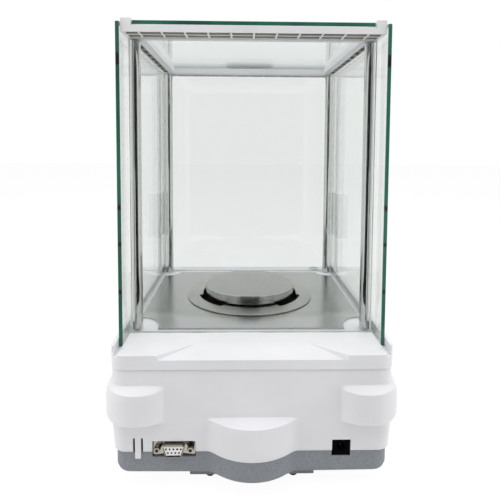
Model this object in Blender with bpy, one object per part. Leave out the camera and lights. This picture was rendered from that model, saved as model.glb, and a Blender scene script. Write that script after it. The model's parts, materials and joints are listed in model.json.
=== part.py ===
"""A precision balance with a glass weighing chamber, in metres with +Z up.

The table is at Z = 0, the key side faces -Y and the socket side faces +Y. Every
separate piece is one object, and a moving piece has its origin on its joint's axis.
"""

import math

import bmesh
import bpy
from mathutils import Matrix, Vector

# Gaps shared by all pieces
GAP = 0.0003
CUT_OVERRUN = 0.002
MERGE = 0.00001

# Weighing chamber, the size that the rest follows
POST_SPAN_X = 0.191
POST_SPAN_Y = 0.176
POST_HEIGHT = 0.2389
POST_RADIUS = 0.00425
POST_STEPS = 20
CHAMBER_CENTRE_Y = 0.020
GLASS = 0.003
DOOR_OVERHANG_REAR = 0.0303
DOOR_OVERHANG_FRONT = 0.018

# Heights of the casing, from the table up
TRAY_BOTTOM = 0.0125
TRAY_HEIGHT = 0.0175
HOUSING_HEIGHT = 0.0642
DECK_HEIGHT = 0.0107

# Deck cover
LIP_WIDTH = 0.0029
LIP_HEIGHT = 0.005
LIP_REAR_SETBACK = 0.006
GROOVE_DEPTH = 0.002
SEAT_DEPTH = 0.0015
DECK_SHELF_REAR = 0.050
DECK_SHELF_FRONT = 0.0245
DECK_CORNER = 0.012
DECK_SIDE_WALL = 0.005
DECK_TOP_WALL = 0.0045
REAR_DIP_HALF = 0.0705
REAR_DIP_FRONT_HALF = 0.044
REAR_DIP_SLANT = 0.003
REAR_DIP_LENGTH = 0.0215
REAR_DIP_DEPTH = 0.0034

# Casing walls and outline
DECK_OVERHANG = 0.0003
REAR_OVERHANG = 0.001
BODY_CORNER = 0.012
BODY_FRONT_CORNER = 0.020
HOUSING_WALL = 0.003
HOUSING_FOOT_INSET = 0.0012
TRAY_INSET = 0.0023
TRAY_WALL = 0.003
TRAY_FLOOR = 0.0025
TRAY_CHAMFER = 0.0008
TRAY_CORNER = 0.015
TRAY_ROUND = 0.0022
TRAY_ROUND_SHARE = 0.3
PANEL_RUN = 0.078
PANEL_DROP = 0.045
OUTLINE_CORNER_STEPS = 8
REAR_WALL_STEPS = 56
SIDE_SWELL_STEPS = 7

# Swellings of the rear: one round each corner and one in the middle
CORNER_SWELL_RADIUS = 0.0265
CORNER_SWELL_PROUD_X = 0.006
CORNER_SWELL_PROUD_Y = 0.009
CORNER_SWELL_LOW = 0.025
CORNER_SWELL_HIGH = 0.0489
CORNER_SWELL_EDGE = 0.0028
CORNER_SWELL_SHOULDER = 0.004
SIDE_SWELL_SHARES = (0.12, 0.85, 1.0, 0.9, 0.65, 0.4, 0.12)
CENTRE_SWELL_HALF = 0.032
CENTRE_SWELL_PROUD = 0.0135
CENTRE_SWELL_TOP = 0.0259
CENTRE_SWELL_EDGE = 0.0013
SWELL_BLEND = 0.004

# Top frame
RAIL_COVER = 0.00075
RAIL_WIDTH = 0.013
RAIL_BASE_HEIGHT = 0.0052
RAIL_UPSTAND_HEIGHT = 0.005
RAIL_UPSTAND_WIDTH = 0.008
CROSSBAR_WIDTH = 0.030
CROSSBAR_REACH = 0.028
FRONT_CROSSBAR_REACH = 0.020
FRONT_CROSSBAR_WIDTH = 0.028
FRONT_STOP_WIDTH = 0.0117
RIB = 0.0015
RIB_DEPTH = 0.003
RIB_CELLS = 10
RIB_SIDE_CELLS = 9
RIB_STRIP = 0.005
RAIL_SKIN = 0.0012
POST_SEAT_LENGTH = 0.011
SLOT_NECK_HEIGHT = 0.0024
SLOT_NECK_DEPTH = 0.0015
SLOT_HEAD_HEIGHT = 0.0048
SLOT_HEAD_DEPTH = 0.002
SLOT_LIFT = 0.0064
SLOT_END_WALL = 0.002

# Door furniture
SHOE_LENGTH = 0.014
SHOE_FRONT_OFFSET = 0.015
SHOE_SPACING = 0.040
DOOR_DROP = 0.0028
HANDLE_LENGTH = 0.031
HANDLE_HEIGHT = 0.052
HANDLE_BASE = 0.003
HANDLE_LIFT = 0.0435
HANDLE_FRONT_SETBACK = 0.002
HANDLE_FIN_REACH = 0.014
HANDLE_FIN_WALL = 0.004
HANDLE_BEVEL = 0.001
TOP_HANDLE_WIDTH = 0.055
TOP_HANDLE_DEPTH = 0.013
TOP_HANDLE_HEIGHT = 0.0045
TOP_HANDLE_FRONT_SETBACK = 0.0015
TOP_HANDLE_SCOOP = 0.0022
TOP_HANDLE_RIM = 0.0025

# Floor plate, draft ring and pan
PLATE_THICKNESS = 0.0012
PLATE_HALF_WIDTH = 0.098
PLATE_FRONT_REACH = 0.0048
PLATE_REAR_REACH = 0.0015
PLATE_NOTCH_REAR_X = 0.0170
PLATE_NOTCH_REAR_Y = 0.0240
PLATE_NOTCH_FRONT_X = 0.0145
PLATE_NOTCH_FRONT_Y = 0.0200
PLATE_HOLE = 0.049
NOTCH_STEPS = 28
PAN_OFFSET_Y = 0.0005
PAN_RADIUS = 0.045
PAN_LIFT = 0.0128
PAN_SHEET = 0.001
PAN_RIM_DEPTH = 0.0087
PAN_EDGE = 0.0012
PAN_STEPS = 56
PAN_MARK_RADIUS = 0.0013
PAN_MARK_DEPTH = 0.0003
PAN_CONE_RADIUS = 0.008
PAN_CONE_FOOT_SHARE = 0.75
PAN_CONE_HEIGHT = 0.0085
PAN_CONE_BORE = 0.0034
PAN_CONE_BORE_DEPTH = 0.0066
PAN_CONE_BORE_TIP = 0.0018
RING_RADIUS = 0.063
RING_SHEET = 0.0008
RING_RISE = 0.0016
RING_HOLE = 0.039
RING_SLOPE_END = 0.050
RING_STEPS = 60
RING_LIP_RADIUS = 0.0475
RING_LIP_HEIGHT = 0.0034
TONGUE_SHARE = 0.18
NOTCH_START_SHARE = 0.06
NOTCH_OUTER_RADIUS = 0.0515
NOTCH_INNER_RADIUS = 0.0455
SECTOR_STEPS = 12
WELL_RADIUS = 0.050
WELL_FLANGE = 0.0025
WELL_FLANGE_THICKNESS = 0.0009
WELL_DEPTH = 0.004
WELL_SHEET = 0.001
WELL_HOLE = 0.009
SPINDLE_RADIUS = 0.003
SPINDLE_TIP = 0.0015
SPINDLE_FLANGE_RADIUS = 0.006
SPINDLE_FLANGE = 0.002

# Feet
FOOT_X = 0.0328
FOOT_REAR_SETBACK = 0.0188
FOOT_RADIUS = 0.0036
FOOT_PIN_RADIUS = 0.0018
FOOT_PIN_LENGTH = 0.004
FOOT_ROUND = 0.0012
PAD_ROUND = 0.001
SOLE_HALF_WIDTH = 0.048
SOLE_DEPTH = 0.0055
SOLE_REAR_SETBACK = 0.008
SOLE_LENGTH = 0.054
LEVELLING_X = 0.074
LEVELLING_FRONT_SETBACK = 0.034
PAD_RADIUS = 0.009
PAD_HEIGHT = 0.0048
PAD_SOCKET_DEPTH = 0.002
STUD_RADIUS = 0.003
STUD_TOP = 0.024
KNOB_RADIUS = 0.015
KNOB_HEIGHT = 0.005
KNOB_LOBES = 24
KNOB_LOBE_DEPTH = 0.0006
STUD_BOSS_RADIUS = 0.0065
STUD_BOSS_TOP = 0.027
ROUND_STEPS = 24

# Control panel, in its own sloped frame
PANEL_FRONT_CORNER = 0.022
PANEL_OVERHANG = 0.0025
PANEL_FACE = 0.003
PANEL_CAVITY_MARGIN = 0.01925
PANEL_CAVITY_LOW = -0.034
PANEL_CAVITY_HIGH = 0.036
WINDOW_WIDTH = 0.104
WINDOW_HEIGHT = 0.029
WINDOW_V = 0.0145
WINDOW_THICKNESS = 0.0024
WINDOW_REBATE = 0.003
MODULE_MARGIN = 0.0025
MODULE_THICKNESS = 0.0045
BOARD_THICKNESS = 0.0016
KEY_NAMES = ("key_power", "key_zero", "key_unit", "key_mode", "key_print", "key_cal")
KEY_WIDTH = 0.018
KEY_DEPTH = 0.0095
KEY_PITCH = 0.0255
KEY_V = -0.0185
KEY_PROUD = 0.0013
KEY_CORNER = 0.0025
KEY_FLANGE = 0.001
KEY_STEM_RADIUS = 0.0015
KEY_TRAVEL = 0.0008
KEY_CORNER_STEPS = 3

# Level vial
VIAL_X = -0.084
VIAL_RADIUS = 0.0048
VIAL_DEPTH = 0.0034
VIAL_RING_WIDTH = 0.0011
VIAL_RING_PROUD = 0.0008
VIAL_DOME = 0.0004

# Sockets at the rear
PORT_X = 0.0590
PORT_Z = 0.0326
PORT_OPENING_HALF_WIDTH = 0.0162
PORT_OPENING_HALF_HEIGHT = 0.0066
PORT_FLANGE_THICKNESS = 0.001
PORT_FLANGE_SETBACK = 0.0038
SHELL_WIDTH = 0.0166
SHELL_HEIGHT = 0.0083
SHELL_PROUD = 0.0056
SHELL_WALL = 0.0005
SHELL_SLANT_SHARE = 0.12
INSULATOR_SETBACK = 0.0006
INSULATOR_TAIL = 0.004
CONTACT_RADIUS = 0.00075
CONTACT_PITCH = 0.00277
CONTACT_ROW = 0.00284
CONTACT_DEPTH = 0.004
CONTACTS_TOP = 5
CONTACTS_BOTTOM = 4
JACK_SPACING = 0.025
JACK_RADIUS = 0.0026
JACK_HEIGHT = 0.0044
JACK_BORE = 0.0012
JACK_BORE_DEPTH = 0.003
HEX_STEPS = 6
CONTACT_STEPS = 8
POWER_X = -0.0672
POWER_HALF_WIDTH = 0.0068
POWER_HALF_HEIGHT = 0.0065
POWER_LENGTH = 0.0125
POWER_SETBACK = 0.0025
POWER_BORE = 0.0031
POWER_BORE_DEPTH = 0.0095
POWER_PIN_RADIUS = 0.0008
POWER_PIN_SETBACK = 0.0025
TONGUE_X = 0.0858
TONGUE_WIDTH = 0.0044
TONGUE_SLIT = 0.0016
TONGUE_HIGH = 0.0113
TONGUE_LOW = 0.0050

# Main board and its posts
BOARD_HALF_WIDTH = 0.088
BOARD_FRONT = 0.070
BOARD_REAR_SETBACK = 0.009
BOARD_BOTTOM = 0.0214
BOARD_POST_RADIUS = 0.003
BOARD_POST_X_SHARE = 0.88
BOARD_POST_INSET = 0.008

# Weighing cell
CELL_PLATE_HALF_WIDTH = 0.034
CELL_PLATE_THICKNESS = 0.004
CELL_PLATE_BOTTOM = 0.018
CELL_PLATE_REAR = 0.020
CELL_PLATE_FRONT = 0.139
CELL_POST_RADIUS = 0.005
CELL_POST_INSET = 0.008
CELL_HALF_WIDTH = 0.022
CELL_HEIGHT = 0.054
CELL_LOAD_COLUMN = 0.021
CELL_WINDOW = 0.054
CELL_FIXED_COLUMN = 0.025
CELL_LINK = 0.010
FLEXURE_RADIUS = 0.0038
FLEXURE_STEPS = 14
LEVER_HALF_WIDTH = 0.004
LEVER_HEIGHT = 0.006
LEVER_PASS_CLEARANCE = 0.001
LEVER_OVERRUN = 0.013
POT_RADIUS = 0.019
POT_HEIGHT = 0.0235
POT_GAP_INNER = 0.0095
POT_GAP_OUTER = 0.013
POT_GAP_DEPTH = 0.016
POT_SETBACK = 0.0105
COIL_INNER = 0.0100
COIL_OUTER = 0.0124
COIL_HEIGHT = 0.0152
POT_STEPS = 24
SENSOR_HALF_WIDTH = 0.011
SENSOR_HALF_HEIGHT = 0.011
SENSOR_LENGTH = 0.006

# Sizes worked out from the ones above
POST_X = POST_SPAN_X / 2
REAR_POST_Y = CHAMBER_CENTRE_Y + POST_SPAN_Y / 2
FRONT_POST_Y = CHAMBER_CENTRE_Y - POST_SPAN_Y / 2
RAIL_OUTER = POST_X + POST_RADIUS + RAIL_COVER
RAIL_INNER = RAIL_OUTER - RAIL_WIDTH
UPSTAND_INNER = RAIL_OUTER - RAIL_UPSTAND_WIDTH
DOOR_INNER = RAIL_OUTER + GAP
DOOR_OUTER = DOOR_INNER + GLASS
GROOVE_OUTER = DOOR_OUTER + GAP
DECK_HALF_WIDTH = GROOVE_OUTER + LIP_WIDTH
BODY_HALF_WIDTH = DECK_HALF_WIDTH - DECK_OVERHANG
DECK_REAR = REAR_POST_Y + DECK_SHELF_REAR
DECK_FRONT = FRONT_POST_Y - DECK_SHELF_FRONT
BODY_REAR = DECK_REAR - REAR_OVERHANG
PANEL_FRONT = DECK_FRONT - PANEL_RUN
BODY_FRONT = PANEL_FRONT + PANEL_OVERHANG
TRAY_TOP = TRAY_BOTTOM + TRAY_HEIGHT
HOUSING_BOTTOM = TRAY_TOP + GAP
HOUSING_TOP = HOUSING_BOTTOM + HOUSING_HEIGHT
DECK_BOTTOM = HOUSING_TOP + GAP
DECK_TOP = DECK_BOTTOM + DECK_HEIGHT
POST_BOTTOM = DECK_TOP + GAP
POST_TOP = POST_BOTTOM + POST_HEIGHT
FRAME_BOTTOM = POST_TOP + GAP
FRAME_SHELF = FRAME_BOTTOM + RAIL_BASE_HEIGHT
FRAME_TOP = FRAME_SHELF + RAIL_UPSTAND_HEIGHT
REAR_BAR_REAR = REAR_POST_Y + CROSSBAR_REACH
REAR_BAR_FRONT = REAR_BAR_REAR - CROSSBAR_WIDTH
FRONT_BAR_FRONT = FRONT_POST_Y - FRONT_CROSSBAR_REACH
FRONT_BAR_REAR = FRONT_BAR_FRONT + FRONT_CROSSBAR_WIDTH
DOOR_REAR = REAR_POST_Y + DOOR_OVERHANG_REAR
DOOR_FRONT = FRONT_POST_Y - DOOR_OVERHANG_FRONT
DOOR_BOTTOM = DECK_TOP - GROOVE_DEPTH + GAP
DOOR_TOP = FRAME_TOP - DOOR_DROP
PLATE_BOTTOM = DECK_TOP + GAP
PLATE_TOP = PLATE_BOTTOM + PLATE_THICKNESS
PAN_Y = CHAMBER_CENTRE_Y + PAN_OFFSET_Y
PAN_TOP = PLATE_TOP + PAN_LIFT
PANEL_THICKNESS = DECK_HEIGHT
SLOPE = math.atan2(PANEL_DROP, PANEL_RUN)
SLOPE_RATE = PANEL_DROP / PANEL_RUN
PANEL_TOP = DECK_TOP
SOLE_BOTTOM = TRAY_BOTTOM - SOLE_DEPTH
REAR_GLASS_FRONT = REAR_POST_Y + POST_RADIUS + GAP
FRONT_GLASS_REAR = FRONT_POST_Y - POST_RADIUS - GAP
FOOT_Y = BODY_REAR - FOOT_REAR_SETBACK
LEVELLING_Y = BODY_FRONT + LEVELLING_FRONT_SETBACK
PANEL_CAVITY_HALF = (KEY_PITCH * (len(KEY_NAMES) - 1) + KEY_WIDTH) / 2 + PANEL_CAVITY_MARGIN
BOARD_REAR = BODY_REAR - BOARD_REAR_SETBACK
BOARD_TOP = BOARD_BOTTOM + BOARD_THICKNESS
CELL_BOTTOM = CELL_PLATE_BOTTOM + CELL_PLATE_THICKNESS + GAP
CELL_TOP = CELL_BOTTOM + CELL_HEIGHT
LOAD_REAR = PAN_Y + CELL_LOAD_COLUMN / 2
LOAD_FRONT = PAN_Y - CELL_LOAD_COLUMN / 2
WINDOW_FRONT = LOAD_FRONT - CELL_WINDOW
CELL_FRONT = WINDOW_FRONT - CELL_FIXED_COLUMN
LEVER_BOTTOM = CELL_BOTTOM + (CELL_HEIGHT - LEVER_HEIGHT) / 2
SENSOR_REAR = CELL_FRONT - GAP
SENSOR_FRONT = SENSOR_REAR - SENSOR_LENGTH
POT_Y = SENSOR_FRONT - POT_SETBACK - COIL_OUTER


# Materials

def material(name, colour, roughness, metallic=0.0, alpha=1.0, transmission=0.0):
    """One Principled finish."""
    finish = bpy.data.materials.get(name) or bpy.data.materials.new(name)
    finish.use_nodes = True
    shader = finish.node_tree.nodes["Principled BSDF"]
    shader.inputs["Base Color"].default_value = (*colour, 1.0)
    shader.inputs["Roughness"].default_value = roughness
    shader.inputs["Metallic"].default_value = metallic
    shader.inputs["Alpha"].default_value = alpha
    shader.inputs["Transmission Weight"].default_value = transmission
    return finish


def white_plastic():
    return material("white_plastic", (0.80, 0.80, 0.82), 0.42)


def grey_plastic():
    return material("grey_plastic", (0.22, 0.235, 0.26), 0.6)


def clear_glass():
    return material("clear_glass", (0.86, 0.95, 0.92), 0.05, alpha=0.35, transmission=0.9)


def clear_plastic():
    return material("clear_plastic", (0.90, 0.92, 0.91), 0.12, alpha=0.5, transmission=0.8)


def polished_steel():
    return material("polished_steel", (0.62, 0.62, 0.6), 0.16, 1.0)


def satin_steel():
    return material("satin_steel", (0.55, 0.56, 0.54), 0.32, 1.0)


def black_rubber():
    return material("black_rubber", (0.02, 0.02, 0.02), 0.8)


def black_plastic():
    return material("black_plastic", (0.025, 0.025, 0.028), 0.45)


def dark_lens():
    return material("dark_lens", (0.03, 0.04, 0.04), 0.1)


def display_grey():
    return material("display_grey", (0.32, 0.36, 0.30), 0.3)


def board_green():
    return material("board_green", (0.02, 0.16, 0.07), 0.5)


def key_grey():
    return material("key_grey", (0.42, 0.45, 0.5), 0.5)


def cast_aluminium():
    return material("cast_aluminium", (0.6, 0.6, 0.62), 0.4, 1.0)


def bright_nickel():
    return material("bright_nickel", (0.66, 0.64, 0.6), 0.25, 1.0)


def white_insulator():
    return material("white_insulator", (0.86, 0.86, 0.84), 0.5)


def copper_wire():
    return material("copper_wire", (0.7, 0.32, 0.16), 0.35, 1.0)


def black_steel():
    return material("black_steel", (0.04, 0.04, 0.045), 0.5, 0.6)


def vial_liquid():
    return material("vial_liquid", (0.55, 0.8, 0.3), 0.1)


# Tools that make and join shapes

def clear_scene():
    """Start from an empty scene."""
    for item in list(bpy.data.objects):
        bpy.data.objects.remove(item, do_unlink=True)


def add_object(name, bm, finish, origin=(0.0, 0.0, 0.0), sharp=30.0):
    """Turn a mesh drawn at its place into an object whose origin is at `origin`."""
    bmesh.ops.recalc_face_normals(bm, faces=bm.faces)
    bmesh.ops.translate(bm, verts=bm.verts, vec=-Vector(origin))
    mesh = bpy.data.meshes.new(name)
    bm.to_mesh(mesh)
    bm.free()
    mesh.shade_smooth()
    mesh.set_sharp_from_angle(angle=math.radians(sharp))
    mesh.materials.append(finish)
    item = bpy.data.objects.new(name, mesh)
    item.location = origin
    bpy.context.scene.collection.objects.link(item)
    return item


def as_cutter(item):
    """Hide a shape that only shapes others."""
    item.hide_render = True
    item.display_type = "WIRE"
    return item


def boolean(item, other, operation):
    """Cut or join with a live Boolean."""
    step = item.modifiers.new(other.name, "BOOLEAN")
    step.operation = operation
    step.solver = "EXACT"
    step.object = other
    return item


def bevel(item, width, segments=2):
    """Round the edges of a piece."""
    step = item.modifiers.new("rounding", "BEVEL")
    step.width = width
    step.segments = segments
    step.limit_method = "ANGLE"
    step.angle_limit = math.radians(40.0)
    return item


def closed_rings(bm, rings, cap_first=True, cap_last=True):
    """Join rings of equal count into walls, and close both ends."""
    loops = [[bm.verts.new(point) for point in ring] for ring in rings]
    for first, second in zip(loops, loops[1:]):
        count = len(first)
        for i in range(count):
            j = (i + 1) % count
            bm.faces.new((first[i], first[j], second[j], second[i]))
    if cap_first:
        bm.faces.new(list(reversed(loops[0])))
    if cap_last:
        bm.faces.new(loops[-1])
    return loops


def prism(name, outline, low, high, finish, origin=(0.0, 0.0, 0.0)):
    """An outline in X and Y raised from low to high."""
    bm = bmesh.new()
    rings = [[(x, y, low) for x, y in outline], [(x, y, high) for x, y in outline]]
    closed_rings(bm, rings)
    return add_object(name, bm, finish, origin)


def side_prism(name, outline, left, right, finish, origin=(0.0, 0.0, 0.0)):
    """An outline in Y and Z carried along X."""
    bm = bmesh.new()
    rings = [[(left, y, z) for y, z in outline], [(right, y, z) for y, z in outline]]
    closed_rings(bm, rings)
    return add_object(name, bm, finish, origin)


def long_prism(name, outline, front, rear, finish, origin=(0.0, 0.0, 0.0)):
    """An outline in X and Z carried along Y."""
    bm = bmesh.new()
    rings = [[(x, front, z) for x, z in outline], [(x, rear, z) for x, z in outline]]
    closed_rings(bm, rings)
    return add_object(name, bm, finish, origin)


def rectangle(left, right, low, high):
    """Four corners, anticlockwise."""
    return [(left, low), (right, low), (right, high), (left, high)]


def block(name, low, high, finish, origin=(0.0, 0.0, 0.0)):
    """A plain block between two corners."""
    outline = rectangle(low[0], high[0], low[1], high[1])
    return prism(name, outline, low[2], high[2], finish, origin)


def blocks(name, corners):
    """Several separate blocks in one cutter."""
    bm = bmesh.new()
    for low, high in corners:
        outline = rectangle(low[0], high[0], low[1], high[1])
        closed_rings(bm, [[(x, y, low[2]) for x, y in outline], [(x, y, high[2]) for x, y in outline]])
    return as_cutter(add_object(name, bm, white_plastic()))


def circle(radius, steps, centre=(0.0, 0.0), phase=0.0):
    """Points round a circle, whose flats touch the true radius from outside for phase zero."""
    return [(centre[0] + radius * math.cos(phase + 2 * math.pi * i / steps),
             centre[1] + radius * math.sin(phase + 2 * math.pi * i / steps)) for i in range(steps)]


def rounded_rectangle(half_x, half_y, radius, steps, centre=(0.0, 0.0)):
    """A rectangle with round corners, anticlockwise."""
    points = []
    for quarter, (side_x, side_y) in enumerate(((1, 1), (-1, 1), (-1, -1), (1, -1))):
        middle_x = centre[0] + side_x * (half_x - radius)
        middle_y = centre[1] + side_y * (half_y - radius)
        for i in range(steps + 1):
            angle = (quarter + i / steps) * math.pi / 2
            points.append((middle_x + radius * math.cos(angle), middle_y + radius * math.sin(angle)))
    return points


def turned(name, profile, centre, finish, steps, origin=None):
    """Turn a closed profile of radius and height round a vertical axis.

    A profile that starts and ends on the axis makes a solid, any other makes a ring."""
    bm = bmesh.new()
    on_axis = profile[0][0] == 0 and profile[-1][0] == 0
    rings = []
    for radius, height in profile:
        if radius == 0:
            rings.append([bm.verts.new((centre[0], centre[1], height))])
        else:
            rings.append([bm.verts.new((x, y, height)) for x, y in circle(radius, steps, centre)])
    pairs = list(zip(rings, rings[1:]))
    if not on_axis:
        pairs.append((rings[-1], rings[0]))
    for first, second in pairs:
        for i in range(steps):
            j = (i + 1) % steps
            if len(first) == 1:
                bm.faces.new((first[0], second[j], second[i]))
            elif len(second) == 1:
                bm.faces.new((first[i], first[j], second[0]))
            else:
                bm.faces.new((first[i], first[j], second[j], second[i]))
    return add_object(name, bm, finish, origin or (centre[0], centre[1], profile[0][1]))


def cylinder(name, centre, radius, low, high, finish, steps=ROUND_STEPS, origin=None):
    """A round bar along Z."""
    profile = [(0, low), (radius, low), (radius, high), (0, high)]
    return turned(name, profile, centre, finish, steps, origin)


def rear_cylinder(name, x, z, radius, front, rear, finish, steps=ROUND_STEPS):
    """A round bar along Y."""
    return long_prism(name, circle(radius, steps, (x, z)), front, rear, finish, (x, front, z))


# Outline of the casing

def casing_outline(inset, corner_radius):
    """Points and outward normals round the casing, drawn in by `inset`.

    It runs anticlockwise from the front of the +X side."""
    half = BODY_HALF_WIDTH - inset
    rear = BODY_REAR - inset
    front = BODY_FRONT + inset
    radius = corner_radius - inset
    nose = BODY_FRONT_CORNER - inset
    swell_start = BODY_REAR - BODY_CORNER - CORNER_SWELL_RADIUS
    side = [front + nose, DECK_FRONT]
    side += [swell_start + CORNER_SWELL_RADIUS * i / SIDE_SWELL_STEPS for i in range(SIDE_SWELL_STEPS)]
    wall = [half - radius - 2 * (half - radius) * i / REAR_WALL_STEPS for i in range(REAR_WALL_STEPS + 1)]
    corner = [math.pi / 2 * i / OUTLINE_CORNER_STEPS for i in range(OUTLINE_CORNER_STEPS + 1)]
    points = [(half, y, 1.0, 0.0) for y in side]
    points += [(half - radius + radius * math.cos(a), rear - radius + radius * math.sin(a),
                math.cos(a), math.sin(a)) for a in corner[:-1]]
    points += [(x, rear, 0.0, 1.0) for x in wall]
    points += [(-half + radius - radius * math.sin(a), rear - radius + radius * math.cos(a),
                -math.sin(a), math.cos(a)) for a in corner[1:]]
    points += [(-half, y, -1.0, 0.0) for y in reversed(side)]
    points += [(-half + nose - nose * math.cos(a), front + nose - nose * math.sin(a),
                -math.cos(a), -math.sin(a)) for a in corner[1:]]
    points += [(half - nose + nose * math.sin(a), front + nose - nose * math.cos(a),
                math.sin(a), -math.cos(a)) for a in corner[:-1]]
    return points


def reach_to_circle(point, centre, radius):
    """How far a point goes along its normal to leave a circle."""
    along = (centre[0] - point[0]) * point[2] + (centre[1] - point[1]) * point[3]
    across_x = centre[0] - point[0] - along * point[2]
    across_y = centre[1] - point[1] - along * point[3]
    left = radius ** 2 - across_x ** 2 - across_y ** 2
    return along + math.sqrt(left) if left > 0 else -SWELL_BLEND


def soft_above_zero(value, blend):
    """The larger of zero and a value, with a smooth join."""
    share = min(1.0, max(0.0, 0.5 + 0.5 * value / blend))
    return value * share + blend * share * (1.0 - share)


def swollen(inset, rear_weight, side_weight, centre_weight, corner_radius=BODY_CORNER):
    """The casing outline with its swellings at the given weights.

    A corner's swelling has one weight where it faces the rear and one at the side."""
    corner_x = BODY_HALF_WIDTH + CORNER_SWELL_PROUD_X - CORNER_SWELL_RADIUS
    corner_y = BODY_REAR + CORNER_SWELL_PROUD_Y - CORNER_SWELL_RADIUS
    centre_radius = (CENTRE_SWELL_HALF ** 2 + CENTRE_SWELL_PROUD ** 2) / (2 * CENTRE_SWELL_PROUD)
    centre_y = BODY_REAR + CENTRE_SWELL_PROUD - centre_radius
    result = []
    for point in casing_outline(inset, corner_radius):
        side = 1.0 if point[0] > 0 else -1.0
        corner = reach_to_circle(point, (side * corner_x, corner_y), CORNER_SWELL_RADIUS - inset)
        centre = reach_to_circle(point, (0.0, centre_y), centre_radius - inset)
        if point[3] <= 0.0 and point[1] < BODY_REAR - BODY_CORNER - CORNER_SWELL_RADIUS:
            corner = -SWELL_BLEND
        if point[3] < 1.0:
            centre = -SWELL_BLEND
        rearward = point[3] ** 2
        weight = rear_weight * rearward + side_weight * (1.0 - rearward)
        push = weight * soft_above_zero(corner, SWELL_BLEND / 2)
        push += centre_weight * soft_above_zero(centre, SWELL_BLEND)
        result.append((point[0] + push * point[2], point[1] + push * point[3]))
    return result


def top_share(y):
    """Height of the casing's rim at a depth: level under the deck, sloped at the keys."""
    return HOUSING_TOP - max(0.0, DECK_FRONT - y) * SLOPE_RATE


def housing_ring(inset, rear_weight, side_weight, centre_weight, level):
    """One ring of the upper housing, squeezed down where the rim slopes."""
    share = (level - HOUSING_BOTTOM) / HOUSING_HEIGHT
    return [(x, y, HOUSING_BOTTOM + share * (top_share(y) - HOUSING_BOTTOM))
            for x, y in swollen(inset, rear_weight, side_weight, centre_weight)]


# Casing pieces

def tray_post_places():
    """Centre, radius and top of each post on the floor of the tray."""
    places = []
    board_x = BOARD_HALF_WIDTH * BOARD_POST_X_SHARE
    for x in (-board_x, board_x):
        for y in (BOARD_FRONT + BOARD_POST_INSET, BOARD_REAR - BOARD_POST_INSET):
            places.append(((x, y), BOARD_POST_RADIUS, BOARD_BOTTOM - GAP))
    cell_x = CELL_PLATE_HALF_WIDTH - CELL_POST_INSET
    for x in (-cell_x, cell_x):
        for y in (PAN_Y + CELL_PLATE_REAR - CELL_POST_INSET, PAN_Y - CELL_PLATE_FRONT + CELL_POST_INSET):
            places.append(((x, y), CELL_POST_RADIUS, CELL_PLATE_BOTTOM - GAP))
    for x in (-LEVELLING_X, LEVELLING_X):
        places.append(((x, LEVELLING_Y), STUD_BOSS_RADIUS, STUD_BOSS_TOP))
    return places


def make_base_tray():
    """The grey lower casing: floor, walls, posts inside and the sole underneath."""
    floor = TRAY_BOTTOM + TRAY_FLOOR
    part_round = TRAY_ROUND * TRAY_ROUND_SHARE
    levels = [
        (TRAY_INSET + TRAY_ROUND, TRAY_BOTTOM),
        (TRAY_INSET + part_round, TRAY_BOTTOM + part_round),
        (TRAY_INSET, TRAY_BOTTOM + TRAY_ROUND),
        (TRAY_INSET, TRAY_TOP),
        (TRAY_INSET + TRAY_WALL, TRAY_TOP),
        (TRAY_INSET + TRAY_WALL, floor),
    ]
    bm = bmesh.new()
    closed_rings(bm, [[(x, y, z) for x, y in swollen(inset, 0.0, 0.0, 1.0, TRAY_CORNER)]
                      for inset, z in levels])
    tray = add_object("base_tray", bm, grey_plastic())
    for index, (centre, radius, top) in enumerate(tray_post_places()):
        name = "tray_post_%d" % index
        post = cylinder(name, centre, radius, floor - TRAY_FLOOR / 2, top, grey_plastic(), POST_STEPS)
        boolean(tray, as_cutter(post), "UNION")
    sole_rear = BODY_REAR - SOLE_REAR_SETBACK
    sole = block("sole", (-SOLE_HALF_WIDTH, sole_rear - SOLE_LENGTH, SOLE_BOTTOM),
                 (SOLE_HALF_WIDTH, sole_rear, TRAY_BOTTOM + TRAY_FLOOR / 2), grey_plastic())
    boolean(tray, as_cutter(bevel(sole, TRAY_CHAMFER, 1)), "UNION")
    for index, x in enumerate((-LEVELLING_X, LEVELLING_X)):
        bore = cylinder("stud_bore_%d" % index, (x, LEVELLING_Y), STUD_RADIUS + GAP,
                        TRAY_BOTTOM - CUT_OVERRUN, STUD_BOSS_TOP + CUT_OVERRUN, grey_plastic())
        boolean(tray, as_cutter(bore), "DIFFERENCE")
    for index, x in enumerate((-FOOT_X, FOOT_X)):
        bore = cylinder("foot_bore_%d" % index, (x, FOOT_Y), FOOT_PIN_RADIUS + GAP,
                        SOLE_BOTTOM - CUT_OVERRUN, SOLE_BOTTOM + FOOT_PIN_LENGTH + GAP,
                        grey_plastic(), POST_STEPS)
        boolean(tray, as_cutter(bore), "DIFFERENCE")
    boolean(tray, rear_openings("tray_openings"), "DIFFERENCE")
    tongue = TONGUE_WIDTH / 2 + GAP
    notch = blocks("tray_notch", [((TONGUE_X - tongue, BODY_REAR - HOUSING_WALL - CUT_OVERRUN,
                                    HOUSING_BOTTOM - TONGUE_LOW - GAP),
                                   (TONGUE_X + tongue, BODY_REAR + CUT_OVERRUN, TRAY_TOP + CUT_OVERRUN))])
    boolean(tray, notch, "DIFFERENCE")
    return tray


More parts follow.
